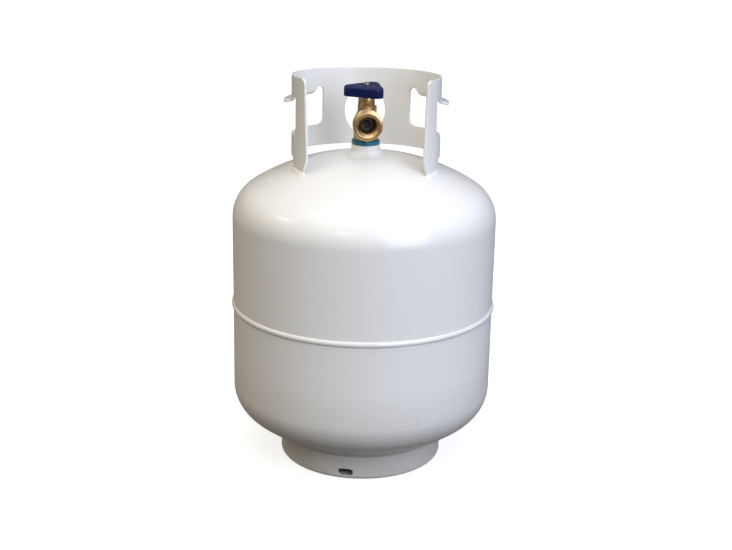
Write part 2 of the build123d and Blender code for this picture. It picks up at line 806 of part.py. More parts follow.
def make_bonnet():
    """Round bonnet with two wrench flats, screwed into the neck; it guides the stem."""
    bore = STEM_RADIUS + RUNNING_GAP
    thread = BONNET_BORE - THREAD_CLEARANCE
    with BuildPart() as bonnet:
        revolve(
            outline(
                [
                    (bore, BONNET_BOTTOM_Z),
                    (thread, BONNET_BOTTOM_Z),
                    (thread, NECK_TOP_Z + 0.1),
                    (BONNET_RADIUS, NECK_TOP_Z + 0.1),
                    (BONNET_RADIUS, BONNET_TOP_Z - 0.8),
                    (BONNET_RADIUS - 0.8, BONNET_TOP_Z),
                    (bore, BONNET_TOP_Z),
                ],
                Plane.XZ,
            ),
            axis=Axis.Z,
        )
        with BuildSketch(Plane.XY.offset(NECK_TOP_Z + 1.5)):
            Circle(BONNET_RADIUS + 1)
            Rectangle(BONNET_FLATS, 30, mode=Mode.SUBTRACT)
        extrude(amount=10, mode=Mode.SUBTRACT)
    return bonnet.part


# ---------------------------------------------------------------- shut-off stem and handwheel


def make_upper_stem():
    """Stem with a flange under the bonnet, a square above for the wheel and one below."""
    groove = STEM_RADIUS - 1.1
    with BuildPart() as stem:
        revolve(
            outline(
                [
                    (0, 410.7),
                    (6.2, 410.7),
                    (6.2, 413.1),
                    (STEM_RADIUS, 413.1),
                    (STEM_RADIUS, 416.0),
                    (groove, 416.0),
                    (groove, 417.6),
                    (STEM_RADIUS, 417.6),
                    (STEM_RADIUS, 421.0),
                    (groove, 421.0),
                    (groove, 422.6),
                    (STEM_RADIUS, 422.6),
                    (STEM_RADIUS, STEM_SHOULDER_Z),
                    (0, STEM_SHOULDER_Z),
                ],
                Plane.XZ,
            ),
            axis=Axis.Z,
        )
        with BuildSketch(Plane.XY.offset(STEM_SHOULDER_Z)):
            Rectangle(SQUARE, SQUARE)
        extrude(amount=WHEEL_TOP_Z - RECESS_DEPTH - 0.2 - STEM_SHOULDER_Z)
        with BuildSketch(Plane.XY.offset(402.7)):
            Rectangle(4.4, 4.4)
        extrude(amount=8.0)
        with BuildSketch(Plane.XY.offset(SCREW_HOLE_Z)):
            Circle(1.65)
        extrude(amount=12, mode=Mode.SUBTRACT)
    return stem.part


def make_stem_o_rings():
    """Two rubber rings in the stem's grooves."""
    with BuildPart() as rings:
        for height in (416.8, 421.8):
            with BuildSketch(Plane.XZ):
                with Locations((STEM_RADIUS - 0.55, height)):
                    Ellipse(0.52, 0.7)
            revolve(axis=Axis.Z)
    return rings.part


def make_lower_stem():
    """Seat carrier: cup for the disc below, thread outside, square socket inside."""
    with BuildPart() as carrier:
        revolve(
            outline(
                [
                    (0, 396.6),
                    (5.1, 396.6),
                    (5.1, SEAT_LIP_Z + 0.9),
                    (6.0, SEAT_LIP_Z + 0.9),
                    (6.0, 398.2),
                    (4.2, 398.8),
                    (4.2, 401.6),
                    (CARRIER_BORE - 0.08, 402.4),
                    (CARRIER_BORE - 0.08, 406.8),
                    (0, 406.8),
                ],
                Plane.XZ,
            ),
            axis=Axis.Z,
        )
        with BuildSketch(Plane.XY.offset(398.9)):
            Rectangle(4.5, 4.5)
        extrude(amount=9, mode=Mode.SUBTRACT)
    return carrier.part


def make_seat_disc():
    """Rubber disc that closes on the seat lip."""
    with BuildPart() as disc:
        with BuildSketch(Plane.XY.offset(SEAT_LIP_Z + 0.02)):
            Circle(5.05)
        extrude(amount=396.55 - SEAT_LIP_Z - 0.02)
    return disc.part


def wheel_outline():
    """Rounded three-lobed outline of the handwheel."""
    with BuildSketch() as shape:
        with PolarLocations(LOBE_CENTRE, LOBE_COUNT, start_angle=LOBE_ANGLE - 90):
            Circle(LOBE_RADIUS)
        make_hull()
    return shape.sketch


def make_handwheel():
    """Three-lobed wheel: hollow underneath, with a hub on the stem's square."""
    with BuildPart() as wheel:
        with BuildSketch(Plane.XY.offset(WHEEL_BOTTOM_Z)):
            add(wheel_outline())
        extrude(amount=WHEEL_TOP_Z - WHEEL_BOTTOM_Z)
        fillet(wheel.faces().sort_by(Axis.Z)[-1].outer_wire().edges(), 3.2)
        with BuildSketch(Plane.XY.offset(WHEEL_BOTTOM_Z)):
            add(wheel_outline())
            offset(amount=-WHEEL_WALL, mode=Mode.REPLACE)
        extrude(amount=WHEEL_CAVITY, mode=Mode.SUBTRACT)
        with BuildSketch(Plane.XY.offset(WHEEL_BOTTOM_Z + 0.4)):
            Circle(HUB_RADIUS)
        extrude(amount=WHEEL_CAVITY)
        # ribs from the hub to the rim
        with BuildSketch(Plane.XY.offset(WHEEL_BOTTOM_Z + 2)):
            with PolarLocations(LOBE_CENTRE * 0.75, LOBE_COUNT, start_angle=LOBE_ANGLE - 90):
                Rectangle(LOBE_CENTRE, 2)
        extrude(amount=WHEEL_CAVITY - 1)
        # round recess for the screw, with a square hole through the hub
        with BuildSketch(Plane.XY.offset(WHEEL_TOP_Z - RECESS_DEPTH)):
            Circle(RECESS_RADIUS)
        extrude(amount=RECESS_DEPTH + 1, mode=Mode.SUBTRACT)
        with BuildSketch(Plane.XY.offset(WHEEL_BOTTOM_Z)):
            Rectangle(SQUARE + 2 * RUNNING_GAP, SQUARE + 2 * RUNNING_GAP)
        extrude(amount=WHEEL_TOP_Z - WHEEL_BOTTOM_Z, mode=Mode.SUBTRACT)
    return wheel.part


def make_handwheel_washer():
    """Flat washer in the wheel's recess."""
    with BuildPart() as washer:
        with BuildSketch(Plane.XY.offset(WHEEL_TOP_Z - RECESS_DEPTH)):
            Circle(5.2)
            Circle(2.1, mode=Mode.SUBTRACT)
        extrude(amount=1.0)
    return washer.part


def make_handwheel_screw():
    """Pan-head screw with a cross recess that holds the wheel on the stem."""
    seat_z = WHEEL_TOP_Z - RECESS_DEPTH + 1.0
    with BuildPart() as screw:
        revolve(
            outline(
                [
                    (0, SCREW_HOLE_Z + 0.4),
                    (1.6, SCREW_HOLE_Z + 0.4),
                    (1.6, seat_z),
                    (3.8, seat_z),
                    (3.9, seat_z + 1.6),
                    (3.3, seat_z + 2.9),
                    (1.9, seat_z + 3.6),
                    (0, seat_z + 3.8),
                ],
                Plane.XZ,
            ),
            axis=Axis.Z,
        )
        with BuildSketch(Plane.XY.offset(seat_z + 1.7)):
            Rectangle(4.0, 0.9)
            Rectangle(0.9, 4.0)
        extrude(amount=4, mode=Mode.SUBTRACT)
    return screw.part


# ---------------------------------------------------------------- outlet check


def make_outlet_seal():
    """Black rubber sleeve, with a coned mouth, that the regulator's nose seals in."""
    front = OUTLET_FACE - FEMALE_DEPTH - 2
    with BuildPart() as seal:
        revolve(
            outline(
                [
                    (SEAL_BACK + 0.05, 5.1),
                    (SEAL_BACK + 0.05, SEAL_BORE - 0.05),
                    (front, SEAL_BORE - 0.05),
                    (front, 7.2),
                    (front - 1.2, 5.1),
                ],
                OUTLET_SECTION,
            ),
            axis=OUTLET_AXIS,
        )
    return seal.part


def make_check_plunger():
    """Dark plunger: nose through the sleeve, flange behind it, and a tail inside the spring."""
    with BuildPart() as plunger:
        revolve(
            outline(
                [
                    (12.2, 0),
                    (12.2, 1.8),
                    (14.6, 1.8),
                    (14.6, 6.7),
                    (SEAL_BACK - 0.02, 6.7),
                    (SEAL_BACK - 0.02, 5.0),
                    (PLUNGER_NOSE - 1.4, 5.0),
                    (PLUNGER_NOSE, 3.8),
                    (PLUNGER_NOSE, 1.6),
                    (PLUNGER_NOSE - 0.8, 1.2),
                    (PLUNGER_NOSE - 0.8, 0),
                ],
                OUTLET_SECTION,
            ),
            axis=OUTLET_AXIS,
        )
    return plunger.part


def coil(start, along, length, radius, wire, turns):
    """A round-wire compression spring along an axis."""
    with BuildPart() as spring:
        with BuildLine() as path:
            Helix(
                pitch=(length - wire) / turns,
                height=length - wire,
                radius=radius,
                center=start + along * (wire / 2),
                direction=along,
            )
        with BuildSketch(Plane(origin=path.line @ 0, z_dir=path.line % 0)):
            Circle(wire / 2)
        sweep(path=path.line, is_frenet=True)
    return spring.part


def make_check_spring():
    """Spring that holds the check plunger shut."""
    outwards = Vector(0, -1, 0)
    start = Vector(0, 0, OUTLET_Z) + outwards * (CHECK_FLOOR + 0.05)
    return coil(start, outwards, 14.6 - CHECK_FLOOR - 0.1, 4.4, 0.6, 5)


# ---------------------------------------------------------------- relief valve


def make_relief_poppet():
    """Relief poppet: a cup for its disc and a stem that runs in the cap."""
    seat = RELIEF_FLOOR + RELIEF_LIP
    with BuildPart() as poppet:
        revolve(
            outline(
                [
                    (seat + 1.7, 0),
                    (seat + 1.7, 5.3),
                    (seat + 0.5, 5.3),
                    (seat + 0.5, 6.4),
                    (seat + 3.5, 6.4),
                    (seat + 3.5, 2.0),
                    (30.2, 2.0),
                    (30.6, 1.6),
                    (30.6, 0),
                ],
                RELIEF_SECTION,
            ),
            axis=RELIEF_AXIS,
        )
    return poppet.part


def make_relief_disc():
    """Rubber disc of the relief valve."""
    seat = RELIEF_FLOOR + RELIEF_LIP
    with BuildPart() as disc:
        revolve(
            outline(
                [(seat + 0.02, 0), (seat + 0.02, 5.25), (seat + 1.65, 5.25), (seat + 1.65, 0)],
                RELIEF_SECTION,
            ),
            axis=RELIEF_AXIS,
        )
    return disc.part


def make_relief_cap():
    """Adjusting plug at the rear: guide hole, four vents and a driver slot."""
    plane = Plane(origin=(0, CAP_FRONT, OUTLET_Z), x_dir=(-1, 0, 0), z_dir=(0, 1, 0))
    with BuildPart() as cap:
        with BuildSketch(plane):
            Circle(RELIEF_BORE - THREAD_CLEARANCE)
            Circle(2.0 + RUNNING_GAP, mode=Mode.SUBTRACT)
            with PolarLocations(5.2, 4, start_angle=45):
                Circle(1.1, mode=Mode.SUBTRACT)
        extrude(amount=RELIEF_END - CAP_FRONT)
        with BuildSketch(plane.offset(RELIEF_END - CAP_FRONT - 1.2)):
            Rectangle(20, 1.6)
        extrude(amount=2, mode=Mode.SUBTRACT)
    return cap.part


def make_relief_spring():
    """Spring between the relief poppet and its cap."""
    outwards = Vector(0, 1, 0)
    first = RELIEF_FLOOR + RELIEF_LIP + 3.55
    start = Vector(0, 0, OUTLET_Z) + outwards * first
    return coil(start, outwards, CAP_FRONT - first - 0.05, 4.6, 1.1, 4)


# ---------------------------------------------------------------- liquid level bleeder


def make_bleeder_screw():
    """Slotted bleeder screw with a conical tip and a groove for its ring."""
    shank = BLEEDER_BORE - 0.05
    with BuildPart() as screw:
        revolve(
            outline(
                [
                    (3.45, 0),
                    (3.45, 0.8),
                    (BLEEDER_SEAT_X + 0.35, shank),
                    (6.6, shank),
                    (6.6, 1.5),
                    (7.8, 1.5),
                    (7.8, shank),
                    (BLEEDER_FACE_X + 0.05, shank),
                    (BLEEDER_FACE_X + 0.05, 4.35),
                    (12.0, 4.35),
                    (12.4, 3.9),
                    (12.4, 0),
                ],
                BLEEDER_SECTION,
            ),
            axis=BLEEDER_AXIS,
        )
        with BuildSketch(Plane.YZ.offset(11.2)):
            with Locations((BLEEDER_Y, BLEEDER_Z)):
                Rectangle(1.2, 12, rotation=35)
        extrude(amount=3, mode=Mode.SUBTRACT)
    return screw.part


def make_bleeder_o_ring():
    """Rubber ring in the bleeder screw's groove."""
    with BuildPart() as ring:
        with BuildSketch(BLEEDER_SECTION):
            with Locations((7.2, 1.95)):
                Ellipse(0.5, 0.4)
        revolve(axis=BLEEDER_AXIS)
    return ring.part


def make_dip_tube():
    """Thin open tube whose lower end marks the fill level."""
    with BuildPart() as tube:
        with BuildSketch(Plane.XY.offset(DIP_BOTTOM_Z)):
            with Locations((DIP_X, DIP_Y)):
                Circle(DIP_RADIUS)
                Circle(DIP_RADIUS - 0.5, mode=Mode.SUBTRACT)
        extrude(amount=BOSS_BOTTOM_Z + 9.5 - DIP_BOTTOM_Z)
    return tube.part


# ---------------------------------------------------------------- overfill stop


def make_stop_housing():
    """Plastic housing on the valve's spigot: stop seat, side windows and two pivot ears."""
    with BuildPart() as housing:
        revolve(
            outline(
                [
                    (STOP_BORE, HOUSING_BOTTOM_Z),
                    (HOUSING_RADIUS, HOUSING_BOTTOM_Z),
                    (HOUSING_RADIUS, HOUSING_TOP_Z),
                    (SPIGOT_RADIUS + THREAD_CLEARANCE, HOUSING_TOP_Z),
                    (SPIGOT_RADIUS + THREAD_CLEARANCE, SPIGOT_BOTTOM_Z - 0.5),
                    (3.0, SPIGOT_BOTTOM_Z - 3),
                    (3.0, STOP_SEAT_Z),
                    (STOP_BORE + 0.6, STOP_SEAT_Z),
                    (STOP_BORE + 0.6, STOP_SEAT_Z - 12),
                    (STOP_BORE, STOP_SEAT_Z - 12.6),
                ],
                Plane.XZ,
            ),
            axis=Axis.Z,
        )
        with BuildSketch(Plane.YZ.offset(-12)):
            with Locations((0, STOP_SEAT_Z - 6)):
                SlotOverall(10, 5, rotation=90)
        extrude(amount=24, mode=Mode.SUBTRACT)
        for side in (1, -1):
            with BuildSketch(Plane.YZ.offset(side * (EAR_INNER + EAR_OUTER) / 2)):
                with BuildLine():
                    Polyline((4, PIVOT_Z), (4, HOUSING_BOTTOM_Z), (-4, HOUSING_BOTTOM_Z), (-4, PIVOT_Z))
                    ThreePointArc((-4, PIVOT_Z), (0, PIVOT_Z - 4), (4, PIVOT_Z))
                make_face()
                with Locations((0, PIVOT_Z)):
                    Circle(PIVOT_PIN + 0.02, mode=Mode.SUBTRACT)
            extrude(amount=(EAR_OUTER - EAR_INNER) / 2, both=True)
    return housing.part


def make_stop_piston():
    """The stop valve: it slides in the housing, and its leg rests just above the arm's finger."""
    leg_inner = FINGER_REACH - 0.9
    leg_outer = FINGER_REACH + 0.4
    leg_z = PIVOT_Z + LEG_GAP
    stem_z = PIVOT_Z + HUB_TOP + 0.5
    top_z = STOP_SEAT_Z - STOP_LIFT - 1.8
    with BuildPart() as piston:
        revolve(
            outline(
                [
                    (0, stem_z),
                    (3.0, stem_z),
                    (3.0, HOUSING_BOTTOM_Z + 0.5),
                    (STOP_BORE - 0.08, HOUSING_BOTTOM_Z + 1.5),
                    (STOP_BORE - 0.08, STOP_SEAT_Z - 14),
                    (2.5, STOP_SEAT_Z - 12),
                    (2.5, top_z - 1.5),
                    (4.2, top_z - 1.5),
                    (4.2, top_z),
                    (0, top_z),
                ],
                Plane.XZ,
            ),
            axis=Axis.Z,
        )
        with BuildSketch(Plane.YZ):
            with BuildLine():
                Polyline(
                    (0, stem_z),
                    (leg_inner, stem_z),
                    (leg_inner, leg_z),
                    (leg_outer, leg_z),
                    (leg_outer, stem_z + 3),
                    (0, stem_z + 3),
                    close=True,
                )
            make_face()
        extrude(amount=1.5, both=True)
    return piston.part


def make_stop_seal():
    """Rubber face on top of the stop piston."""
    with BuildPart() as seal:
        with BuildSketch(Plane.XY.offset(STOP_SEAT_Z - STOP_LIFT - 1.75)):
            Circle(4.2)
        extrude(amount=1.6)
    return seal.part


def arm_plane():
    """The upright plane of the float arm, with its x along the arm at rest."""
    tilt = radians(ARM_REST)
    return Plane(origin=(0, 0, PIVOT_Z), x_dir=(0, cos(tilt), sin(tilt)), z_dir=(1, 0, 0))


def make_float_arm():
    """Hub on the pivot pin, a bar out to the float and a finger under the piston."""
    plane = arm_plane()
    finger_angle = -ARM_SWING / 2 - ARM_REST
    hub_width = 2 * (EAR_INNER - 0.1)
    with BuildPart() as arm:
        with BuildSketch(plane):
            Circle(HUB_TOP)
        extrude(amount=hub_width / 2, both=True)
        with BuildSketch(plane):
            with Locations((FLOAT_START / 2 + 3, 0)):
                Rectangle(FLOAT_START + 6, 3.6)
        extrude(amount=1.5, both=True)
        with BuildSketch(plane):
            with BuildLine():
                reach = Vector(FINGER_REACH, 0, 0).rotate(Axis.Z, finger_angle)
                across = Vector(0, FINGER_RADIUS, 0).rotate(Axis.Z, finger_angle)
                tip = reach + Vector(FINGER_RADIUS, 0, 0).rotate(Axis.Z, finger_angle)
                Polyline(reach + across, across, across * -1, reach - across)
                ThreePointArc(reach - across, tip, reach + across)
            make_face()
        extrude(amount=2.0, both=True)
        with BuildSketch(plane):
            Circle(PIVOT_PIN + RUNNING_GAP)
        extrude(amount=hub_width, both=True, mode=Mode.SUBTRACT)
    return arm.part


def make_float():
    """Closed-cell foam float with rounded ends, slotted over the arm's bar."""
    plane = arm_plane()
    tilt = radians(ARM_REST)
    along = Vector(0, cos(tilt), sin(tilt))
    start = Vector(0, 0, PIVOT_Z) + along * FLOAT_START
    with BuildPart() as foam:
        with BuildSketch(Plane(origin=start, x_dir=(1, 0, 0), z_dir=along)):
            Circle(FLOAT_RADIUS)
        extrude(amount=FLOAT_LENGTH)
        fillet(foam.edges(), 3.0)
        with BuildSketch(plane):
            with Locations((FLOAT_START + 2, 0)):
                Rectangle(8.1, 3.7)
        extrude(amount=1.55, both=True, mode=Mode.SUBTRACT)
    return foam.part


def make_pivot_pin():
    """Steel pin through the ears and the arm's hub."""
    with BuildPart() as pin:
        with BuildSketch(Plane.YZ.offset(-EAR_OUTER - 0.5)):
            with Locations((0, PIVOT_Z)):
                Circle(PIVOT_PIN)
        extrude(amount=2 * EAR_OUTER + 1)
    return pin.part


os.makedirs("parts", exist_ok=True)

upper_shell = make_upper_shell()
lower_shell = make_lower_shell()
valve_boss = make_valve_boss()
collar = make_collar()
foot_ring = make_foot_ring()

save(upper_shell, "upper_shell")
save(lower_shell, "lower_shell")
save(make_girth_weld(upper_shell, lower_shell), "girth_weld")
save(valve_boss, "valve_boss")
save(make_boss_weld(upper_shell, valve_boss), "boss_weld")
save(collar, "collar")
save(make_collar_welds(upper_shell, collar), "collar_welds")
save(foot_ring, "foot_ring")
save(make_foot_ring_weld(lower_shell, foot_ring), "foot_ring_weld")

save_valve(make_valve_body(), "valve_body")
save_valve(make_thread_sealant(), "thread_sealant")
save_valve(make_bonnet(), "bonnet")
save_valve(make_upper_stem(), "upper_stem")
save_valve(make_stem_o_rings(), "stem_o_rings")
save_valve(make_lower_stem(), "lower_stem")
save_valve(make_seat_disc(), "seat_disc")
save_valve(make_handwheel(), "handwheel")
save_valve(make_handwheel_washer(), "handwheel_washer")
save_valve(make_handwheel_screw(), "handwheel_screw")
save_valve(make_outlet_seal(), "outlet_seal")
save_valve(make_check_plunger(), "check_plunger")
save_valve(make_check_spring(), "check_spring")
save_valve(make_relief_poppet(), "relief_poppet")
save_valve(make_relief_disc(), "relief_disc")
save_valve(make_relief_cap(), "relief_cap")
save_valve(make_relief_spring(), "relief_spring")
save_valve(make_bleeder_screw(), "bleeder_screw")
save_valve(make_bleeder_o_ring(), "bleeder_o_ring")
save_valve(make_dip_tube(), "dip_tube")

save_valve(make_stop_housing(), "stop_housing")
save_valve(make_stop_piston(), "stop_piston")
save_valve(make_stop_seal(), "stop_seal")
save_valve(make_float_arm(), "float_arm")
save_valve(make_float(), "float")
save_valve(make_pivot_pin(), "pivot_pin")
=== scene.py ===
import json
import math
import random

import bmesh
import bpy
import numpy as np
from mathutils import Matrix, Vector


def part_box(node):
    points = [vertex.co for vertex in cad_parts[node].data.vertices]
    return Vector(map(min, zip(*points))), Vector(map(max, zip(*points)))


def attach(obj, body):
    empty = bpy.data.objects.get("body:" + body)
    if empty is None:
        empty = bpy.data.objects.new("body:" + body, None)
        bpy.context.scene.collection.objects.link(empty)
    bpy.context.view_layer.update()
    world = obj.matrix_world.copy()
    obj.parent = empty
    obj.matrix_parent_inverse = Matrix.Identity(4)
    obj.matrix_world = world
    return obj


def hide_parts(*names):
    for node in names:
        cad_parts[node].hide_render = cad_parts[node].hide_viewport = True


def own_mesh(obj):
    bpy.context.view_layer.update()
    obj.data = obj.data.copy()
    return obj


# Looks of a steel propane cylinder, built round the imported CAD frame. Metres throughout:
# sizes are written in millimetres and multiplied by MM.
MM = 0.001
TAU = 2 * math.pi

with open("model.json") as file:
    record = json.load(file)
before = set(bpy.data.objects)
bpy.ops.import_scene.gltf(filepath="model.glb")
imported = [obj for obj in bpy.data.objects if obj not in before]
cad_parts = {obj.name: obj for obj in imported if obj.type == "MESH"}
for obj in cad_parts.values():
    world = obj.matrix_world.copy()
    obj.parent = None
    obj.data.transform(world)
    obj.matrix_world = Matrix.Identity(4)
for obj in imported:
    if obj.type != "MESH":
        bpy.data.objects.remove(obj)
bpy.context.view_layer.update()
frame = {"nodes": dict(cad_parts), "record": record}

# Camera: where the picture was taken from, in the row frame
CAMERA_PLACE = (0.0, -1.5416, 0.7154)
CAMERA_PITCH = 17.85
CAMERA_YAW = 0.12
CAMERA_ROLL = 1.11
CAMERA_LENS = 67.57
SENSOR_WIDTH = 36.0

VALVE_TURN = math.radians(3.5)


# ------------------------------------------------------------------ mesh helpers


def arc(centre, radius, start, end, count):
    """Points of an arc, angles in degrees."""
    return [
        (centre[0] + radius * math.cos(math.radians(a)), centre[1] + radius * math.sin(math.radians(a)))
        for a in np.linspace(start, end, count)
    ]


def rounded(points, radius, count=4):
    """An open run of points with its inner corners rounded."""
    done = [points[0]]
    for before, corner, after in zip(points, points[1:], points[2:]):
        b, c, a = Vector(before), Vector(corner), Vector(after)
        reach = min(radius, (b - c).length * 0.45, (a - c).length * 0.45)
        start = c + (b - c).normalized() * reach
        end = c + (a - c).normalized() * reach
        for t in np.linspace(0, 1, count):
            done.append(tuple(start * (1 - t) ** 2 + c * 2 * t * (1 - t) + end * t * t))
    done.append(points[-1])
    return done


def lathe(name, profile, segments=192, closed=False, shape=None):
    """A turned mesh about +Z from (radius, height) points in mm.

    shape(radius, height, angle) takes the rows of points all round and gives them back altered.
    """
    rows = np.array(profile, float)
    angles = np.arange(segments) * TAU / segments
    radius = np.repeat(rows[:, :1], segments, 1)
    height = np.repeat(rows[:, 1:], segments, 1)
    if shape is not None:
        radius, height = shape(radius, height, angles[None, :])
    vertices = np.stack([radius * np.cos(angles), radius * np.sin(angles), height], -1) * MM
    count = len(rows)
    faces = []
    for i in range(count if closed else count - 1):
        k = (i + 1) % count
        for j in range(segments):
            n = (j + 1) % segments
            faces.append((i * segments + j, i * segments + n, k * segments + n, k * segments + j))
    mesh = bpy.data.meshes.new(name)
    mesh.from_pydata(vertices.reshape(-1, 3).tolist(), [], faces)
    work = bmesh.new()
    work.from_mesh(mesh)
    bmesh.ops.remove_doubles(work, verts=work.verts, dist=1e-6)
    bmesh.ops.holes_fill(work, edges=work.edges, sides=segments)
    bmesh.ops.recalc_face_normals(work, faces=work.faces)
    work.to_mesh(mesh)
    work.free()
    return mesh


def new_object(name, mesh):
    """An object in the scene with a mesh."""
    made = bpy.data.objects.new(name, mesh)
    bpy.context.scene.collection.objects.link(made)
    return made


def smooth(made, angle=35):
    """Smooth shading, with edges sharper than the angle kept crisp."""
    made.data.shade_smooth()
    made.data.set_sharp_from_angle(angle=math.radians(angle))


def bake(made):
    """Replace an object's mesh with what its modifiers make of it."""
    depsgraph = bpy.context.evaluated_depsgraph_get()
    mesh = bpy.data.meshes.new_from_object(made.evaluated_get(depsgraph))
    made.modifiers.clear()
    made.data = mesh


def piece(made, node, material, angle=35):
    """Finish a piece that stands for a CAD node: material, shading, and the body it rides on."""
    made.data.materials.clear()
    made.data.materials.append(material)
    smooth(made, angle)
    bodies = frame["record"]["behaviour"]["bodies"]
    body = next(name for name, members in bodies.items() if node in members)
    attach(made, body)
    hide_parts(node)


def to_valve(mesh, matrix=None):
    """Turn a mesh built facing -Y to where the valve faces."""
    if matrix is not None:
        mesh.transform(matrix)
    mesh.transform(Matrix.Rotation(VALVE_TURN, 4, "Z"))
    return mesh


def wave(angle, seed, order, strength):
    """A smooth closed wander round a circle, made of a few harmonics."""
    draw = random.Random(seed)
    total = 0
    for k in range(1, order + 1):
        total = total + draw.uniform(-1, 1) * np.sin(k * angle + draw.uniform(0, TAU)) / math.sqrt(k)
    return strength * total


def sheet(name, outline, holes, thickness, edge, step, rows, place):
    """A bent sheet: a flat pattern with rounded edges, sliced finely, then put in place point by point."""
    curve = bpy.data.curves.new(name, "CURVE")
    curve.dimensions = "2D"
    curve.fill_mode = "BOTH"
    curve.extrude = thickness / 2 - edge
    curve.bevel_depth = edge
    curve.bevel_resolution = 2
    curve.offset = -edge
    for loop in [outline] + holes:
        spline = curve.splines.new("POLY")
        spline.points.add(len(loop) - 1)
        for point, (x, y) in zip(spline.points, loop):
            point.co = (x, y, 0, 1)
        spline.use_cyclic_u = True
    flat = new_object(name + "_flat", curve)
    depsgraph = bpy.context.evaluated_depsgraph_get()
    mesh = bpy.data.meshes.new_from_object(flat.evaluated_get(depsgraph))
    bpy.data.objects.remove(flat)
    work = bmesh.new()
    work.from_mesh(mesh)
    bmesh.ops.remove_doubles(work, verts=work.verts, dist=1e-3)
    low = min(v.co.x for v in work.verts)
    high = max(v.co.x for v in work.verts)
    cuts = [((x, 0, 0), (1, 0, 0)) for x in np.arange(low + step / 2, high, step)]
    cuts += [((0, y, 0), (0, 1, 0)) for y in rows]
    for point, normal in cuts:
        everything = work.verts[:] + work.edges[:] + work.faces[:]
        bmesh.ops.bisect_plane(work, geom=everything, dist=1e-4, plane_co=point, plane_no=normal)
    for v in work.verts:
        v.co = Vector(place(v.co.x, v.co.y, v.co.z)) * MM
    bmesh.ops.remove_doubles(work, verts=work.verts, dist=2e-6)
    bmesh.ops.recalc_face_normals(work, faces=work.faces)
    work.to_mesh(mesh)
    work.free()
    return new_object(name, mesh)


# ------------------------------------------------------------------ materials

CORNER_SAMPLES = 6
ENAMEL_DARKER = (0.745, 0.74, 0.725)
ENAMEL_LIGHTER = (0.765, 0.762, 0.75)
# Dust colour, which low on the shell also stands for painted shade on the underside, and the heights in
# metres over which it fades out.
DUST_AND_SHADE = (0.42, 0.39, 0.35)
DUST_AND_SHADE_FULL_BELOW = 0.045
DUST_AND_SHADE_GONE_ABOVE = 0.13
# Grime colour, also painted shade in corners and along the toes of beads.
GRIME_AND_SHADE = (0.34, 0.31, 0.27)
SCUFFED = (0.42, 0.40, 0.37)
CAST_LIGHT = (0.50, 0.345, 0.17)
CAST_DARK = (0.28, 0.17, 0.07)
TURNED_LIGHT = (0.56, 0.39, 0.20)
TURNED_DARK = (0.38, 0.245, 0.11)
# Dark brown of tarnish, which also stands for painted shade, in the brass's hollows.
TARNISH_AND_SHADE = (0.20, 0.11, 0.04)
# Painted light on the sealant: its tint where warm light falls on the left and where cool light falls on
# the right.
SEALANT_WARM_LIT_LEFT = (0.0, 0.105, 0.115)
SEALANT_COOL_LIT_RIGHT = (0.0, 0.095, 0.235)
SEALANT_DRY = (0.01, 0.22, 0.30)


class Look:
    """A small helper that builds one node material."""

    def __init__(self, name):
        self.material = bpy.data.materials.new(name)
        self.material.use_nodes = True
        self.nodes = self.material.node_tree.nodes
        self.links = self.material.node_tree.links
        self.shader = self.nodes["Principled BSDF"]
        self.place = self.nodes.new("ShaderNodeTexCoord").outputs["Object"]

    def put(self, value, socket):
        """Feed an input from another node's output, or set it to a number or a colour."""
        if isinstance(value, bpy.types.NodeSocket):
            self.links.new(value, socket)
        elif isinstance(value, (tuple, list)) and len(value) == 3 and socket.type == "RGBA":
            socket.default_value = (*value, 1)
        else:
            socket.default_value = value

    def set(self, **values):
        """Set inputs of the main shader by name, with underscores for spaces."""
        for key, value in values.items():
            self.put(value, self.shader.inputs[key.replace("_", " ")])

    def noise(self, scale, detail=3.0, rough=0.5, stretch=(1, 1, 1)):
        """Fractal noise in the object's own space; scale is in waves per metre."""
        mapping = self.nodes.new("ShaderNodeMapping")
        mapping.inputs["Scale"].default_value = stretch
        self.links.new(self.place, mapping.inputs["Vector"])
        node = self.nodes.new("ShaderNodeTexNoise")
        node.inputs["Scale"].default_value = scale
        node.inputs["Detail"].default_value = detail
        node.inputs["Roughness"].default_value = rough
        self.links.new(mapping.outputs["Vector"], node.inputs["Vector"])
        return node.outputs["Fac"]

    def spread(self, value, low, high, start=0.0, end=1.0):
        """Map a value from low..high to start..end, held at both ends."""
        node = self.nodes.new("ShaderNodeMapRange")
        self.put(value, node.inputs["Value"])
        for key, number in zip(("From Min", "From Max", "To Min", "To Max"), (low, high, start, end)):
            self.put(number, node.inputs[key])
        return node.outputs["Result"]

    def maths(self, kind, a, b):
        """One sum of two values."""
        node = self.nodes.new("ShaderNodeMath")
        node.operation = kind
        self.put(a, node.inputs[0])
        self.put(b, node.inputs[1])
        return node.outputs[0]

    def mix(self, share, a, b):
        """Colour a turning into colour b as share goes from 0 to 1."""
        node = self.nodes.new("ShaderNodeMix")
        node.data_type = "RGBA"
        self.put(share, node.inputs["Factor"])
        self.put(a, node.inputs[6])
        self.put(b, node.inputs[7])
        return node.outputs[2]

    def corner(self, radius):
        """How much a point lies in a hollow corner, from 0 in the open to 1 deep inside."""
        node = self.nodes.new("ShaderNodeAmbientOcclusion")
        node.samples = CORNER_SAMPLES
        node.inputs["Distance"].default_value = radius
        return self.maths("SUBTRACT", 1.0, node.outputs["AO"])

    def height(self):
        """Height above the floor in metres."""
        node = self.nodes.new("ShaderNodeSeparateXYZ")
        self.links.new(self.place, node.inputs[0])
        return node.outputs["Z"]

    def bump(self, *layers):
        """Bump layers as (height, distance in metres)."""
        normal = None
        for value, distance in layers:
            node = self.nodes.new("ShaderNodeBump")
            node.inputs["Distance"].default_value = distance
            self.put(value, node.inputs["Height"])
            if normal is not None:
                self.links.new(normal, node.inputs["Normal"])
            normal = node.outputs["Normal"]
        self.links.new(normal, self.shader.inputs["Normal"])
        self.links.new(normal, self.shader.inputs["Coat Normal"])


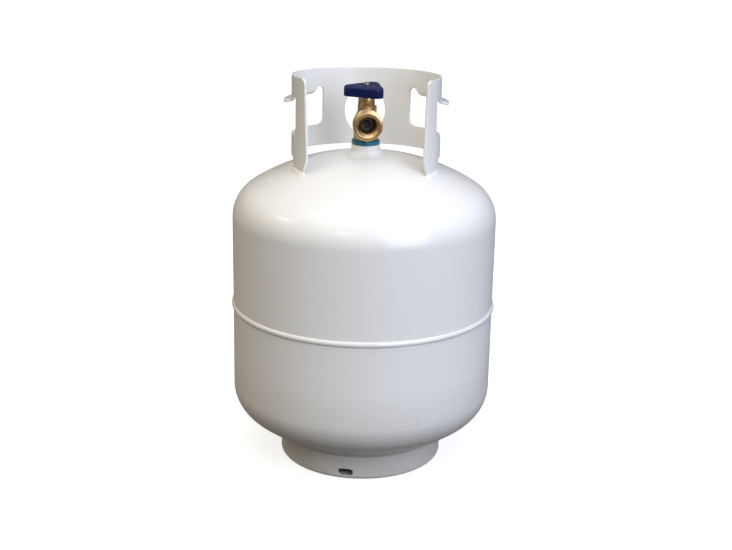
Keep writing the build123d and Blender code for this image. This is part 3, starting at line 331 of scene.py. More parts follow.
def paint_look():
    """Glossy off-white enamel: faint tone drift, orange peel, dust and painted shade low down, grime and
    painted shade in corners, rare small scuffs.
    """
    look = Look("off_white_enamel")
    clean = look.mix(look.spread(look.noise(5, 2), 0.3, 0.7), ENAMEL_DARKER, ENAMEL_LIGHTER)
    # Darker towards the bottom: dust, and painted shade on the underside.
    low_dust_and_shade = look.spread(look.height(), DUST_AND_SHADE_FULL_BELOW, DUST_AND_SHADE_GONE_ABOVE, 1.15, 0.0)
    settled = look.spread(look.noise(60, 6, 0.65), 0.3, 0.7, 0.43, 0.57)
    dusty_and_shaded = look.mix(look.maths("MULTIPLY", low_dust_and_shade, settled), clean, DUST_AND_SHADE)
    # Painted shade, with grime, in corners and along bead toes, from an occlusion mask.
    grime_and_shade = look.spread(look.corner(0.005), 0.3, 0.95, 0.0, 0.3)
    grimed_and_shaded = look.mix(grime_and_shade, dusty_and_shaded, GRIME_AND_SHADE)
    scuff = look.spread(look.noise(210, 5, 0.7, (1, 1, 0.25)), 0.735, 0.76)
    rare = look.spread(look.noise(11, 2), 0.60, 0.70)
    worn = look.maths("MULTIPLY", look.maths("MULTIPLY", scuff, rare), 0.09)
    look.set(
        Base_Color=look.mix(worn, grimed_and_shaded, SCUFFED),
        Roughness=look.spread(look.noise(22, 3, 0.5), 0.3, 0.7, 0.27, 0.31),
        Coat_Weight=0.30,
        Coat_Roughness=0.11,
        Specular_IOR_Level=0.45,
    )
    look.bump((look.noise(430, 2), 0.00003), (look.noise(26, 1), 0.00008))
    return look.material


def brass_look(name, light, dark, smoothest, roughest, grain, pits):
    """Brass with tarnish and painted shade in the hollows; grain and pits are (noise scale, depth in
    metres).
    """
    look = Look(name)
    tone = look.spread(look.noise(190, 5, 0.6), 0.35, 0.7)
    # Tarnish and painted shade in hollows and grooves, from an occlusion mask.
    hollow = look.spread(look.corner(0.004), 0.15, 0.8, 0.0, 0.85)
    base = look.mix(look.maths("MULTIPLY", tone, 0.45), light, dark)
    look.set(
        Base_Color=look.mix(hollow, base, TARNISH_AND_SHADE),
        Metallic=1.0,
        Roughness=look.spread(look.noise(300, 4), 0.3, 0.7, smoothest, roughest),
    )
    look.bump((look.noise(grain[0], 3), grain[1]), (look.noise(pits[0], 4, 0.6), pits[1]))
    return look.material


def plastic_look(name, low, high, rough, fine=0.00001, shine=0.5):
    """Moulded plastic or rubber with a fine grain and a slight change of tone."""
    look = Look(name)
    look.set(
        Base_Color=look.mix(look.spread(look.noise(110, 4), 0.3, 0.7), low, high),
        Roughness=look.spread(look.noise(420, 4, 0.6), 0.3, 0.7, rough - 0.06, rough + 0.08),
        Specular_IOR_Level=shine,
    )
    look.bump((look.noise(1800, 3), fine), (look.noise(140, 2), fine * 4))
    return look.material


def metal_look(name, low, high, rough):
    """Plated or plain steel with a fine grain."""
    look = Look(name)
    look.set(
        Base_Color=look.mix(look.spread(look.noise(260, 5), 0.3, 0.7), low, high),
        Metallic=1.0,
        Roughness=look.spread(look.noise(700, 4), 0.3, 0.7, rough - 0.08, rough + 0.08),
    )
    look.bump((look.noise(2200, 3), 0.00001))
    return look.material


def sealant_look():
    """Dried blue-green thread sealant, patchy, with painted light: greener on the left where warm light
    falls, bluer on the right where cool light falls.
    """
    look = Look("thread_sealant")
    split = look.nodes.new("ShaderNodeSeparateXYZ")
    look.links.new(look.place, split.inputs[0])
    # Painted light: the tint goes from the warm-lit left to the cool-lit right.
    across = look.spread(split.outputs["X"], -0.016, 0.016)
    body = look.mix(across, SEALANT_WARM_LIT_LEFT, SEALANT_COOL_LIT_RIGHT)
    look.set(
        Base_Color=look.mix(look.spread(look.noise(320, 5, 0.7), 0.45, 0.7), body, SEALANT_DRY),
        Roughness=look.spread(look.noise(260, 4), 0.3, 0.7, 0.32, 0.6),
    )
    look.bump((look.noise(700, 4, 0.6), 0.0002), (look.noise(180, 2), 0.0004))
    return look.material


PAINT = paint_look()
BRASS_CAST = brass_look("forged_brass", CAST_LIGHT, CAST_DARK, 0.38, 0.54, (2600, 0.00005), (900, 0.0001))
BRASS_TURNED = brass_look(
    "turned_brass", TURNED_LIGHT, TURNED_DARK, 0.22, 0.36, (1500, 0.00001), (900, 0.00002)
)
SEALANT = sealant_look()
NAVY = plastic_look("navy_plastic", (0.003, 0.006, 0.055), (0.005, 0.012, 0.085), 0.34, 0.000004, 0.22)
DARK = plastic_look("check_plastic", (0.006, 0.008, 0.022), (0.012, 0.016, 0.045), 0.30)
RUBBER = plastic_look("black_rubber", (0.012, 0.012, 0.012), (0.026, 0.025, 0.024), 0.58, 0.00002)
ZINC = metal_look("zinc_plate", (0.15, 0.145, 0.13), (0.26, 0.25, 0.22), 0.36)
SPRING = metal_look("spring_steel", (0.45, 0.45, 0.46), (0.62, 0.62, 0.63), 0.25)
ACETAL = plastic_look("acetal", (0.78, 0.78, 0.74), (0.86, 0.86, 0.83), 0.45)
FOAM = plastic_look("float_foam", (0.02, 0.02, 0.02), (0.05, 0.05, 0.05), 0.85, 0.0001)


# ------------------------------------------------------------------ pressure shell

SHELL_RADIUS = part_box("upper_shell")[1].x / MM
SHELL_WALL = 2.0
SEAM_Z = 188.0
BOSS_HOLE = 16.45
JOGGLE_GAP = 0.1
JOGGLE_RISE = 10
UPPER_HEAD = {"tangent": 292.0, "crown": 250.0, "knuckle": 42.0, "way": 1}
LOWER_HEAD = {"tangent": 88.0, "crown": 224.0, "knuckle": 41.0, "way": -1}


def crown_centre(head):
    """Height of the centre of a head's crown arc."""
    across = SHELL_RADIUS - head["knuckle"]
    return head["tangent"] - head["way"] * math.sqrt((head["crown"] - head["knuckle"]) ** 2 - across**2)


def dome_height(head, radius):
    """Height of a head's outside at a radius on its crown."""
    return crown_centre(head) + head["way"] * math.sqrt(head["crown"] ** 2 - radius**2)


def skin(head, inset, hole):
    """One skin of a head, from its tangent line to its crown or hole."""
    across = SHELL_RADIUS - head["knuckle"]
    rise = head["tangent"] - crown_centre(head)
    turn = math.degrees(math.atan2(rise, across))
    top = head["way"] * math.degrees(math.acos(hole / (head["crown"] - inset)))
    low = arc((across, head["tangent"]), head["knuckle"] - inset, 0, turn, 24)
    high = arc((0, crown_centre(head)), head["crown"] - inset, turn, top, 40)
    return low + high[1:]


def dents(radius, height, angle):
    """Slight unevenness of drawn and rolled steel, well under a millimetre."""
    swell = wave(angle + height * 0.006, 4, 5, 0.10) + wave(angle - height * 0.011, 9, 7, 0.06)
    fade = np.clip((radius - 20) / 100, 0, 1)
    return radius + swell * fade, height + 0 * angle


def make_shells():
    """The two drawn heads with their straight walls."""
    wall_top = [(SHELL_RADIUS, z) for z in np.linspace(SEAM_Z + 1, UPPER_HEAD["tangent"], 26)[:-1]]
    outer = wall_top + skin(UPPER_HEAD, 0, BOSS_HOLE)
    inner = skin(UPPER_HEAD, SHELL_WALL, BOSS_HOLE)[::-1] + [(SHELL_RADIUS - SHELL_WALL, SEAM_Z + 1)]
    upper = new_object("Upper_shell", lathe("Upper_shell", outer + inner, 320, True, dents))
    piece(upper, "upper_shell", PAINT, 50)
    inside = SHELL_RADIUS - SHELL_WALL
    joggled = inside - JOGGLE_GAP
    rim = [
        (SHELL_RADIUS, SEAM_Z - 3.0),
        (joggled, SEAM_Z - 1),
        (joggled, SEAM_Z + JOGGLE_RISE),
        (joggled - SHELL_WALL, SEAM_Z + JOGGLE_RISE),
        (joggled - SHELL_WALL, SEAM_Z - 2.0),
        (inside, SEAM_Z - 4.0),
    ]
    wall_low = [(SHELL_RADIUS, z) for z in np.linspace(LOWER_HEAD["tangent"], SEAM_Z - 5, 26)[1:]]
    outer = skin(LOWER_HEAD, 0, 0)[::-1] + wall_low
    inner = skin(LOWER_HEAD, SHELL_WALL, 0)
    lower = new_object("Lower_shell", lathe("Lower_shell", outer + rim + inner, 320, False, dents))
    piece(lower, "lower_shell", PAINT, 50)


def bead_shape(count, seed, ripples, depth, wander):
    """A lathe shape that ripples a weld bead's face, the first points of its profile.

    The root, which is the rest of the profile, stays as it is.
    """
    arch = np.sin(np.linspace(0, math.pi, count))[:, None]

    def shape(radius, height, angle):
        phase = ripples * angle + 1.3 * arch
        scale = depth * (np.abs(np.sin(phase / 2 + wave(angle, seed + 3, 5, 0.6))) - 0.5)
        side = wave(angle, seed, 9, wander)
        flat = np.zeros_like(angle)
        around = np.vstack([radius[:count] + arch * (scale + 0.6 * side), radius[count:] + flat])
        upwards = np.vstack([height[:count] + arch * side, height[count:] + flat])
        return around, upwards

    return shape


def make_girth_weld():
    """The machine-laid bead round the seam."""
    face = arc((SHELL_RADIUS - 2.05, SEAM_Z), 4.05, -60, 60, 15)
    root = [(SHELL_RADIUS - 1.5, SEAM_Z + 3.5), (SHELL_RADIUS - 1.5, SEAM_Z - 3.5)]
    shape = bead_shape(len(face), 21, 300, 0.16, 0.10)
    weld = new_object("Girth_weld", lathe("Girth_weld", face + root, 1200, True, shape))
    piece(weld, "girth_weld", PAINT, 60)


def make_boss():
    """The threaded boss and its fillet weld."""
    low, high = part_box("valve_boss")
    radius, top, bottom = high.x / MM, high.z / MM, low.z / MM
    outer = rounded([(13.3, bottom), (radius, bottom), (radius, top), (13.4, top)], 1.2, 6)
    boss = new_object("Valve_boss", lathe("Valve_boss", outer, 128, True))
    piece(boss, "valve_boss", PAINT)
    toe = 22.6
    toe_z = dome_height(UPPER_HEAD, toe)
    face = rounded([(radius - 0.3, 371.6), (radius + 1.4, 367.9), (toe, toe_z + 0.1)], 3.0, 9)
    root = [(toe - 1, toe_z - 0.8), (radius - 0.3, 365)]
    shape = bead_shape(len(face), 31, 46, 0.5, 0.10)
    weld = new_object("Boss_weld", lathe("Boss_weld", face + root, 360, True, shape))
    piece(weld, "boss_weld", PAINT, 60)


# ------------------------------------------------------------------ guard collar

COLLAR_SHEET = 3.0
COLLAR_OUTER = 85.0
COLLAR_MIDDLE = COLLAR_OUTER - COLLAR_SHEET / 2
COLLAR_TOP = 455.0
COLLAR_PIVOT_Z = 360.0
COLLAR_LEAN = math.radians(3.2)
FRONT_GAP_ANGLE = 50.8
FRONT_FOOT_END = 75.0
REAR_FOOT_START = 169.0
POST_SLANT = math.tan(math.radians(3.2))
POST_SLANT_Z = 380.0
TOE_SLANT = math.tan(math.radians(24))
TOE_Z = 364.0
SKIRT_Z = 364.0
SKIRT_CORNER = 4.0
HAND_START = 68.5
HAND_END = 142.0
HAND_BOTTOM = 389.0
HAND_CORNER = 10.0
NOTCH_TOP = 433.7
NOTCH_CORNER = 5.0
OVAL_X, OVAL_Z = -1.8, 404.5
OVAL_HALF_WIDTH, OVAL_HALF_HEIGHT = 24.5, 28.5
LIP_START = 430.3
LIP_BEND = 3.5
LIP_TURN = math.radians(78)
LIP_LENGTH = 7.6
COLLAR_WELD = 3.9
COLLAR_WELD_ANGLES = ((52.8, 76.0), (170.0, 190.0), (284.0, 307.2))


def from_back(angle):
    """Distance along the sheet from the middle of the back to an angle measured from the front."""
    return math.radians(180 - angle) * COLLAR_MIDDLE


def mirrored(points):
    """A right-hand half outline joined to its mirror image."""
    return points + [(-x, y) for x, y in points[::-1]]


def foot_line(x):
    """Height in the flat pattern at which the leaned sheet meets the dome, a distance from the back."""
    forward = -COLLAR_MIDDLE * math.cos(x / COLLAR_MIDDLE)
    rise = dome_height(UPPER_HEAD, COLLAR_MIDDLE) - COLLAR_PIVOT_Z - 1.2
    return COLLAR_PIVOT_Z + (rise - forward * math.sin(COLLAR_LEAN)) / math.cos(COLLAR_LEAN)


def half_outline():
    """The right-hand half of the collar's edge: top corner, post, toe, front foot, skirt and rear foot."""
    post, front_foot = from_back(FRONT_GAP_ANGLE), from_back(FRONT_FOOT_END)
    rear_foot = from_back(REAR_FOOT_START)
    toe = post - TOE_SLANT * (TOE_Z - foot_line(post - 4.5))
    post_top = post - POST_SLANT * (COLLAR_TOP - POST_SLANT_Z)
    half = rounded([(post - 30, COLLAR_TOP), (post_top, COLLAR_TOP), (post, POST_SLANT_Z)], 7.5, 12)
    half += [(post, TOE_Z)]
    half += [(x, foot_line(x)) for x in np.linspace(toe, front_foot, 8)]
    corner_z = SKIRT_Z - SKIRT_CORNER
    half += [(front_foot, corner_z)]
    half += arc((front_foot - SKIRT_CORNER, corner_z), SKIRT_CORNER, 0, 90, 8)[1:]
    half += arc((rear_foot + SKIRT_CORNER, corner_z), SKIRT_CORNER, 90, 180, 8)
    half += [(x, foot_line(x)) for x in np.linspace(rear_foot, 0.5, 6)]
    return half


def hand_opening():
    """A hand opening that goes round its lip, and the lip's two ends and tip."""
    near, far = from_back(HAND_END), from_back(HAND_START)
    tip = LIP_START - LIP_TURN * LIP_BEND - LIP_LENGTH
    edge = arc((far - HAND_CORNER, HAND_BOTTOM + HAND_CORNER), HAND_CORNER, -90, 0, 12)
    edge += arc((far - NOTCH_CORNER, NOTCH_TOP - NOTCH_CORNER), NOTCH_CORNER, 0, 90, 8)
    notch = [
        (far - NOTCH_CORNER, NOTCH_TOP),
        (far - 8.4, NOTCH_TOP),
        (far - 11.5, LIP_START),
        (far - 16.1, 425.5),
        (far - 17.6, tip),
    ]
    edge += rounded(notch + [(far - 30, tip)], 2.0)[1:]
    middle = (near + far) / 2
    edge = edge + [(2 * middle - x, y) for x, y in edge[::-1]]
    return edge, (near + 8, far - 8, tip)


def collar_pattern():
    """The flat pattern of the collar: outline, two hand openings and rear oval, and the lip's place."""
    opening, lip = hand_opening()
    other = [(-x, y) for x, y in opening]
    oval = [
        (OVAL_X + OVAL_HALF_WIDTH * math.cos(a), OVAL_Z + OVAL_HALF_HEIGHT * math.sin(a))
        for a in np.linspace(0, TAU, 72)[:-1]
    ]
    return mirrored(half_outline()), [opening, other, oval], lip


def lean_back(x, y, z):
    """Where a point of the upright collar comes to once the collar leans back."""
    rise = z - COLLAR_PIVOT_Z
    back = y * math.cos(COLLAR_LEAN) + rise * math.sin(COLLAR_LEAN)
    return x, back, COLLAR_PIVOT_Z + rise * math.cos(COLLAR_LEAN) - y * math.sin(COLLAR_LEAN)


def make_collar():
    """The rolled guard collar with its lips bent outwards."""
    outline, holes, (near, far, tip) = collar_pattern()

    def place(x, y, depth):
        turn = x / COLLAR_MIDDLE
        radius, height = COLLAR_MIDDLE + depth, y
        fall = LIP_START - y
        if near - 1 < abs(x) < far + 1 and y > tip - 1 and fall > 0:
            bend = min(fall / LIP_BEND, LIP_TURN)
            reach = LIP_BEND - depth
            straight = max(0, fall - LIP_TURN * LIP_BEND)
            radius = COLLAR_MIDDLE + LIP_BEND - reach * math.cos(bend) + straight * math.sin(LIP_TURN)
            height = LIP_START - reach * math.sin(bend) - straight * math.cos(LIP_TURN)
        return lean_back(radius * math.sin(turn), radius * math.cos(turn), height)

    rows = list(np.arange(tip + 0.7, LIP_START + 1, 0.9)) + [365, 375, 386, 396, 440]
    collar = sheet("Collar", outline, holes, COLLAR_SHEET, 0.55, 2.6, rows, place)
    piece(collar, "collar", PAINT, 40)


def make_collar_welds():
    """Low fillet beads along the outside of the feet, with stop and start ends."""
    count = 150
    root = COLLAR_OUTER - 0.9
    dome = dome_height(UPPER_HEAD, COLLAR_OUTER)
    vertices, faces = [], []
    for index, (start, end) in enumerate(COLLAR_WELD_ANGLES):
        base = len(vertices)
        wander = random.Random(index)
        phases = [wander.uniform(0, TAU) for _ in range(3)]
        for i, angle in enumerate(np.linspace(start, end, count)):
            t = i / (count - 1)
            taper = max(0.06, min(1, 4.5 * t, 4.5 * (1 - t)) ** 0.6)
            beat = 1 + 0.09 * abs(math.sin(i * 0.42 + phases[0])) + 0.06 * math.sin(i * 0.11 + phases[1])
            size = COLLAR_WELD * taper * beat
            turn = math.radians(angle - 90)
            toe = COLLAR_OUTER + size
            section = rounded(
                [
                    (root, dome + size * 1.1),
                    (COLLAR_OUTER + 0.42 * size, dome + size * 0.48),
                    (toe, dome_height(UPPER_HEAD, toe) - 0.15),
                ],
                1.6,
                6,
            )
            section += [(root, dome - 1)]
            for radius, height in section:
                vertices.append((radius * math.cos(turn) * MM, radius * math.sin(turn) * MM, height * MM))
        ring = len(section)
        for i in range(count - 1):
            for k in range(ring):
                n = (k + 1) % ring
                low, high = base + i * ring, base + (i + 1) * ring
                faces.append((low + k, low + n, high + n, high + k))
        faces.append(tuple(base + k for k in range(ring)))
        faces.append(tuple(base + (count - 1) * ring + k for k in range(ring)))
    mesh = bpy.data.meshes.new("Collar_welds")
    mesh.from_pydata(vertices, [], faces)
    work = bmesh.new()
    work.from_mesh(mesh)
    bmesh.ops.recalc_face_normals(work, faces=work.faces)
    work.to_mesh(mesh)
    work.free()
    piece(new_object("Collar_welds", mesh), "collar_welds", PAINT, 80)


# ------------------------------------------------------------------ foot ring

FOOT_SHEET = 3.0
FOOT_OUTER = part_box("foot_ring")[1].x / MM
FOOT_MIDDLE = FOOT_OUTER - FOOT_SHEET / 2
FOOT_BEND = 2.5
FOOT_FLANGE = 12.0
FOOT_TOP = 30.2
BEND_Z = 4.0
SLOT_Z = 8.5
SLOT_RADIUS = 4.0
SLOT_HALF = 4.75
SLOT_ANGLES = (-10, 110, -130)


def make_foot_ring():
    """Rolled ring with an inward flange, three slots and a closed butt seam at the back."""
    half = math.pi * FOOT_MIDDLE - 0.15
    quarter = FOOT_BEND * math.pi / 2
    bottom = BEND_Z - quarter - FOOT_FLANGE + 1.0
    outline = [(-half, bottom), (half, bottom), (half, FOOT_TOP), (-half, FOOT_TOP)]
    slots = []
    for angle in SLOT_ANGLES:
        middle = math.radians(angle) * FOOT_MIDDLE
        right_end = arc((middle + SLOT_HALF, SLOT_Z), SLOT_RADIUS, -90, 90, 12)
        left_end = arc((middle - SLOT_HALF, SLOT_Z), SLOT_RADIUS, 90, 270, 12)
        slots.append(right_end + left_end)

    def place(x, y, depth):
        turn = x / FOOT_MIDDLE - math.pi / 2
        radius, height = FOOT_MIDDLE + depth, y
        fall = BEND_Z - y
        if fall > 0:
            bend = min(fall / FOOT_BEND, math.pi / 2)
            reach = FOOT_BEND + depth
            radius = FOOT_MIDDLE - FOOT_BEND + reach * math.cos(bend) - max(0, fall - quarter)
            height = BEND_Z - reach * math.sin(bend)
        return radius * math.cos(turn), radius * math.sin(turn), height

    rows = list(np.arange(-0.4, BEND_Z + 0.3, 0.55)) + [14, 20, 26]
    ring = sheet("Foot_ring", outline, slots, FOOT_SHEET, 0.6, 3.0, rows, place)
    piece(ring, "foot_ring", PAINT, 40)


def make_foot_weld():
    """The bead between the ring and the lower head."""
    toe = FOOT_OUTER + 7.0
    toe_z = dome_height(LOWER_HEAD, toe)
    inner = FOOT_OUTER - 1.0
    low_side = [(FOOT_OUTER - 0.2, 29.5), (FOOT_OUTER + 1.8, 29.3), (FOOT_OUTER + 4.6, 31.2)]
    face = rounded(low_side + [(toe, toe_z + 0.2)], 1.6, 9)
    root = [(toe - 1, toe_z + 1.2), (inner, 31.8), (inner, 29.2)]
    shape = bead_shape(len(face), 41, 210, 0.30, 0.12)
    weld = new_object("Foot_ring_weld", lathe("Foot_ring_weld", face + root, 900, True, shape))
    piece(weld, "foot_ring_weld", PAINT, 60)


# ------------------------------------------------------------------ valve

OUTLET_Z = 403.7
OUTLET_MAJOR = 16.67
OUTLET_FACE = 38.0
ACME_PITCH = 5.08
ACME_DEPTH = 2.5
ACME_START = 21.4
ACME_END = 36.2
FEMALE_PITCH = 25.4 / 14
FEMALE_DEPTH = 0.95
FEMALE_MINOR = 10.3
FEMALE_START = 22.4
FEMALE_END = 35.6
BLEEDER_BACK = 11.0
BLEEDER_Z = 414.65
OUTWARDS = Matrix.Translation((0, 0, OUTLET_Z * MM)) @ Matrix.Rotation(math.radians(90), 4, "X")
BACKWARDS = Matrix.Translation((0, 0, OUTLET_Z * MM)) @ Matrix.Rotation(math.radians(-90), 4, "X")
SIDEWAYS = Matrix.Rotation(math.radians(90), 4, "Y")
BLEEDER_PLACE = Matrix.Translation((0, BLEEDER_BACK * MM, BLEEDER_Z * MM)) @ SIDEWAYS


def trapezoid(phase, crest, root):
    """Thread form: 0 on the crest and 1 in the root, with straight flanks between."""
    place = np.abs((phase % 1.0) - 0.5) * 2
    return np.clip((place - (1 - root) + (1 - root - crest)) / max(1 - root - crest, 1e-6), 0, 1)


def cut_away(made, cutter):
    """Take the shape of a mesh out of an object."""
    tool = new_object("tool", cutter)
    cut = made.modifiers.new("cut", "BOOLEAN")
    cut.operation = "DIFFERENCE"
    cut.object = tool
    bake(made)
    bpy.data.objects.remove(tool)


def cut_bores(forging):
    """Open the passages of the forging: stem chamber and inlet, outlet, relief, bleeder and dip tube."""
    stem = [(0, 341), (4.0, 341), (4.0, 385), (3.2, 386), (3.2, 391), (6.7, 391), (6.7, 413.2)]
    stem += [(8.06, 413.2), (8.06, 423), (0, 423)]
    cut_away(forging, lathe("tool", stem, 64))
    bores = [
        ([(0, 7.3), (8.7, 7.3), (8.7, 19.4), (10.8, 20.8), (10.8, 24), (0, 24)], OUTWARDS),
        ([(0, 9), (3.0, 9), (3.0, 14), (8.05, 14), (8.05, 29), (0, 29)], BACKWARDS),
        ([(0, 3), (2.45, 4.6), (2.45, 10), (0, 10)], BLEEDER_PLACE),
        ([(0, 350), (1.6, 350), (1.6, 362), (0, 362)], Matrix.Translation((9.5 * MM, 2 * MM, 0))),
    ]
    for profile, place in bores:
        tool = lathe("tool", profile, 64)
        tool.transform(place)
        cut_away(forging, tool)


def make_forging():
    """The forged body: lathed lumps melted together so that they blend like a forging."""
    flats = [(0, 382.3), (15.0, 382.3), (15.0, 391.5), (13.6, 392.6), (13.4, 406), (0, 406)]
    neck = [(0, 390), (13.2, 390), (13.4, 405), (11.2, 407.3), (10, 409.3), (10, 421.4), (0, 421.4)]
    inlet = [(0, 342.2), (5.7, 342.2), (5.7, 352.2), (12.2, 352.4), (13.0, 377), (13.0, 384), (0, 384)]
    octagon = lathe("lump", rounded(flats, 0.8), 8)
    octagon.transform(Matrix.Rotation(math.radians(22.5), 4, "Z"))
    outlet = lathe("lump", [(0, -4), (13.6, -4), (14.2, 14), (14.3, 21.5), (0, 21.5)], 96)
    outlet.transform(OUTWARDS)
    relief = lathe("lump", [(0, -2), (9.8, -2), (9.9, 27), (0, 27)], 96)
    relief.transform(BACKWARDS)
    boss = lathe("lump", [(0, -2), (5.3, -2), (5.3, 8.3), (4.9, 8.8), (0, 8.8)], 64)
    boss.transform(BLEEDER_PLACE)
    work = bmesh.new()
    for mesh in (octagon, lathe("lump", neck, 96), lathe("lump", inlet, 64), outlet, relief, boss):
        work.from_mesh(mesh)
    joined = bpy.data.meshes.new("Valve_body")
    work.to_mesh(joined)
    work.free()
    forging = new_object("Valve_body", joined)
    remesh = forging.modifiers.new("melt", "REMESH")
    remesh.mode = "VOXEL"
    remesh.voxel_size = 0.42 * MM
    soften = forging.modifiers.new("soften", "SMOOTH")
    soften.factor = 0.5
    soften.iterations = 7
    bake(forging)
    cut_bores(forging)
    to_valve(forging.data)
    piece(forging, "valve_body", BRASS_CAST, 60)


def make_outlet():
    """The machined outlet: coarse outside thread, chamfered face, fine inside thread and seal bore."""
    outside = [(14.3, s) for s in (19.2, 20.2)]
    outside += [(OUTLET_MAJOR, s) for s in np.linspace(ACME_START, ACME_END, 150)]
    rim = [(OUTLET_MAJOR, 36.3), (15.0, OUTLET_FACE), (12.8, OUTLET_FACE), (11.5, 36.7)]
    face = rounded(rim, 0.5, 5)[1:]
    inside = [(FEMALE_MINOR, s) for s in np.linspace(FEMALE_END, FEMALE_START, 132)]
    bore = [(10.0, 21.9), (8.3, 20.1), (8.2, 16.6), (7.4, 16.4), (7.4, 8.0), (0, 8.0)]
    profile = outside + face + inside + bore
    outer_count = len(outside)
    inner_start = len(outside) + len(face)
    inner_end = inner_start + len(inside)

    def shape(radius, height, angle):
        radius = radius + 0 * angle
        turns = angle / TAU
        rows = slice(2, outer_count)
        along = height[rows]
        groove = trapezoid(along / ACME_PITCH - turns, 0.30, 0.34)
        runout = np.clip((along - ACME_START) / 1.2, 0, 1) * np.clip((ACME_END + 0.7 - along) / 0.6, 0, 1)
        radius[rows] -= ACME_DEPTH * groove * runout
        rows = slice(inner_start, inner_end)
        along = height[rows]
        groove = trapezoid(along / FEMALE_PITCH + turns, 0.12, 0.12)
        fade_in = np.clip((along - FEMALE_START - 0.4) / 1.5, 0, 1)
        runout = fade_in * np.clip((FEMALE_END + 0.3 - along) / 0.5, 0, 1)
        radius[rows] += FEMALE_DEPTH * groove * runout
        return radius, height + 0 * angle

    mesh = lathe("Valve_outlet", profile, 160, False, shape)
    to_valve(mesh, OUTWARDS)
    outlet = new_object("Valve_outlet", mesh)
    piece(outlet, "valve_body", BRASS_TURNED, 32)


def make_relief_barrel():
    """The machined rear end of the relief barrel, open round its adjusting plug."""
    profile = rounded([(9.9, 24), (10.0, 26.5), (10.0, 31.0), (8.0, 31.0), (8.0, 24)], 0.6, 4)
    mesh = lathe("Relief_barrel", profile, 96, True)
    to_valve(mesh, BACKWARDS)
    piece(new_object("Relief_barrel", mesh), "valve_body", BRASS_TURNED)


def make_sealant():
    """The lumpy ring of sealant on the exposed inlet thread."""
    profile = rounded([(13.2, 377.1), (15.5, 377.1), (15.8, 379.4), (15.8, 382.0), (13.2, 382.0)], 0.9, 5)

    def shape(radius, height, angle):
        lift = np.clip((radius - 14.2), 0, 1)
        lumps = wave(angle, 51, 14, 0.13) + 0.22 * np.sin(height * 3.4 + angle)
        return radius + lift * lumps, height + lift * wave(angle, 57, 9, 0.05)

    dense = [
        tuple(Vector(a).lerp(Vector(b), share))
        for a, b in zip(profile, profile[1:])
        for share in (0, 0.33, 0.67)
    ]
    mesh = lathe("Thread_sealant", dense + [profile[-1]], 200, True, shape)
    to_valve(mesh)
    piece(new_object("Thread_sealant", mesh), "thread_sealant", SEALANT, 80)


def make_bleeder_knurl():
    """The bleeder screw: straight-knurled head with a driver slot."""
    shank = [(0.001, 4.8), (1.2, 4.8), (2.3, 6.2), (2.3, 8.95)]
    head_end = 12.4
    profile = rounded(shank + [(4.3, 8.95), (4.3, head_end), (0.001, head_end)], 0.35, 4)

    def shape(radius, height, angle):
        teeth = np.clip((radius - 3.9) * 4, 0, 1) * 0.16 * np.abs(np.sin(angle * 15))
        return radius - teeth, height + 0 * angle

    mesh = lathe("Bleeder_screw", profile, 240, False, shape)
    screw = new_object("Bleeder_screw", mesh)
    slot = bpy.data.meshes.new("slot")
    work = bmesh.new()
    bmesh.ops.create_cube(work, size=1.0)
    bmesh.ops.scale(work, vec=(12 * MM, 1.2 * MM, 2.4 * MM), verts=work.verts)
    bmesh.ops.translate(work, vec=(0, 0, head_end * MM), verts=work.verts)
    work.to_mesh(slot)
    work.free()
    slot.transform(Matrix.Rotation(math.radians(35), 4, "Z"))
    cut_away(screw, slot)
    to_valve(screw.data, BLEEDER_PLACE)
    piece(screw, "bleeder_screw", BRASS_TURNED, 30)


def dress_cad_nodes():
    """Pieces whose CAD mesh is shown: edges rounded a little, smooth shading, their material."""
    looks = {
        "bonnet": (BRASS_TURNED, 0.3),
        "upper_stem": (BRASS_TURNED, 0.15),
        "lower_stem": (BRASS_TURNED, 0.15),
        "relief_cap": (BRASS_TURNED, 0.2),
        "relief_poppet": (BRASS_TURNED, 0.15),
        "dip_tube": (BRASS_TURNED, 0.1),
        "handwheel": (NAVY, 0.35),
        "handwheel_screw": (ZINC, 0.2),
        "handwheel_washer": (ZINC, 0.15),
        "outlet_seal": (RUBBER, 0.2),
        "check_plunger": (DARK, 0.25),
        "stem_o_rings": (RUBBER, 0),
        "seat_disc": (RUBBER, 0.1),
        "relief_disc": (RUBBER, 0.1),
        "bleeder_o_ring": (RUBBER, 0),
        "stop_seal": (RUBBER, 0.1),
        "stop_housing": (ACETAL, 0.25),
        "stop_piston": (ACETAL, 0.2),
        "float_arm": (ZINC, 0.15),
        "float": (FOAM, 0),
        "pivot_pin": (SPRING, 0.15),
    }
    for name, (material, edge) in looks.items():
        node = frame["nodes"][name]
        node.data.materials.clear()
        node.data.materials.append(material)
        weld = node.modifiers.new("weld", "WELD")
        weld.merge_threshold = 0.002 * MM
        if edge:
            bevel = node.modifiers.new("edges", "BEVEL")
            bevel.width = edge * MM
            bevel.segments = 2
            bevel.limit_method = "ANGLE"
            bevel.angle_limit = math.radians(40)
        node.data.shade_smooth()
        node.data.set_sharp_from_angle(angle=math.radians(38))


def make_springs():
    """The two hidden coils, copied from their CAD meshes and put on their bodies."""
    coils = (
        ("check_spring", "check_push", -7.85, 0.39),
        ("relief_spring", "relief_lift", 26.95, 0.69),
    )
    for node, joint, fixed_end, keep in coils:
        source = frame["nodes"][node]
        work = bmesh.new()
        work.from_mesh(source.data)
        bmesh.ops.remove_doubles(work, verts=work.verts, dist=0.002 * MM)
        mesh = bpy.data.meshes.new(node)
        work.to_mesh(mesh)
        work.free()
        coil = new_object(node.capitalize() + "_coil", mesh)
        coil.matrix_world = source.matrix_world.copy()
        piece(coil, node, SPRING, 38)
        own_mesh(coil)


# ------------------------------------------------------------------ studio

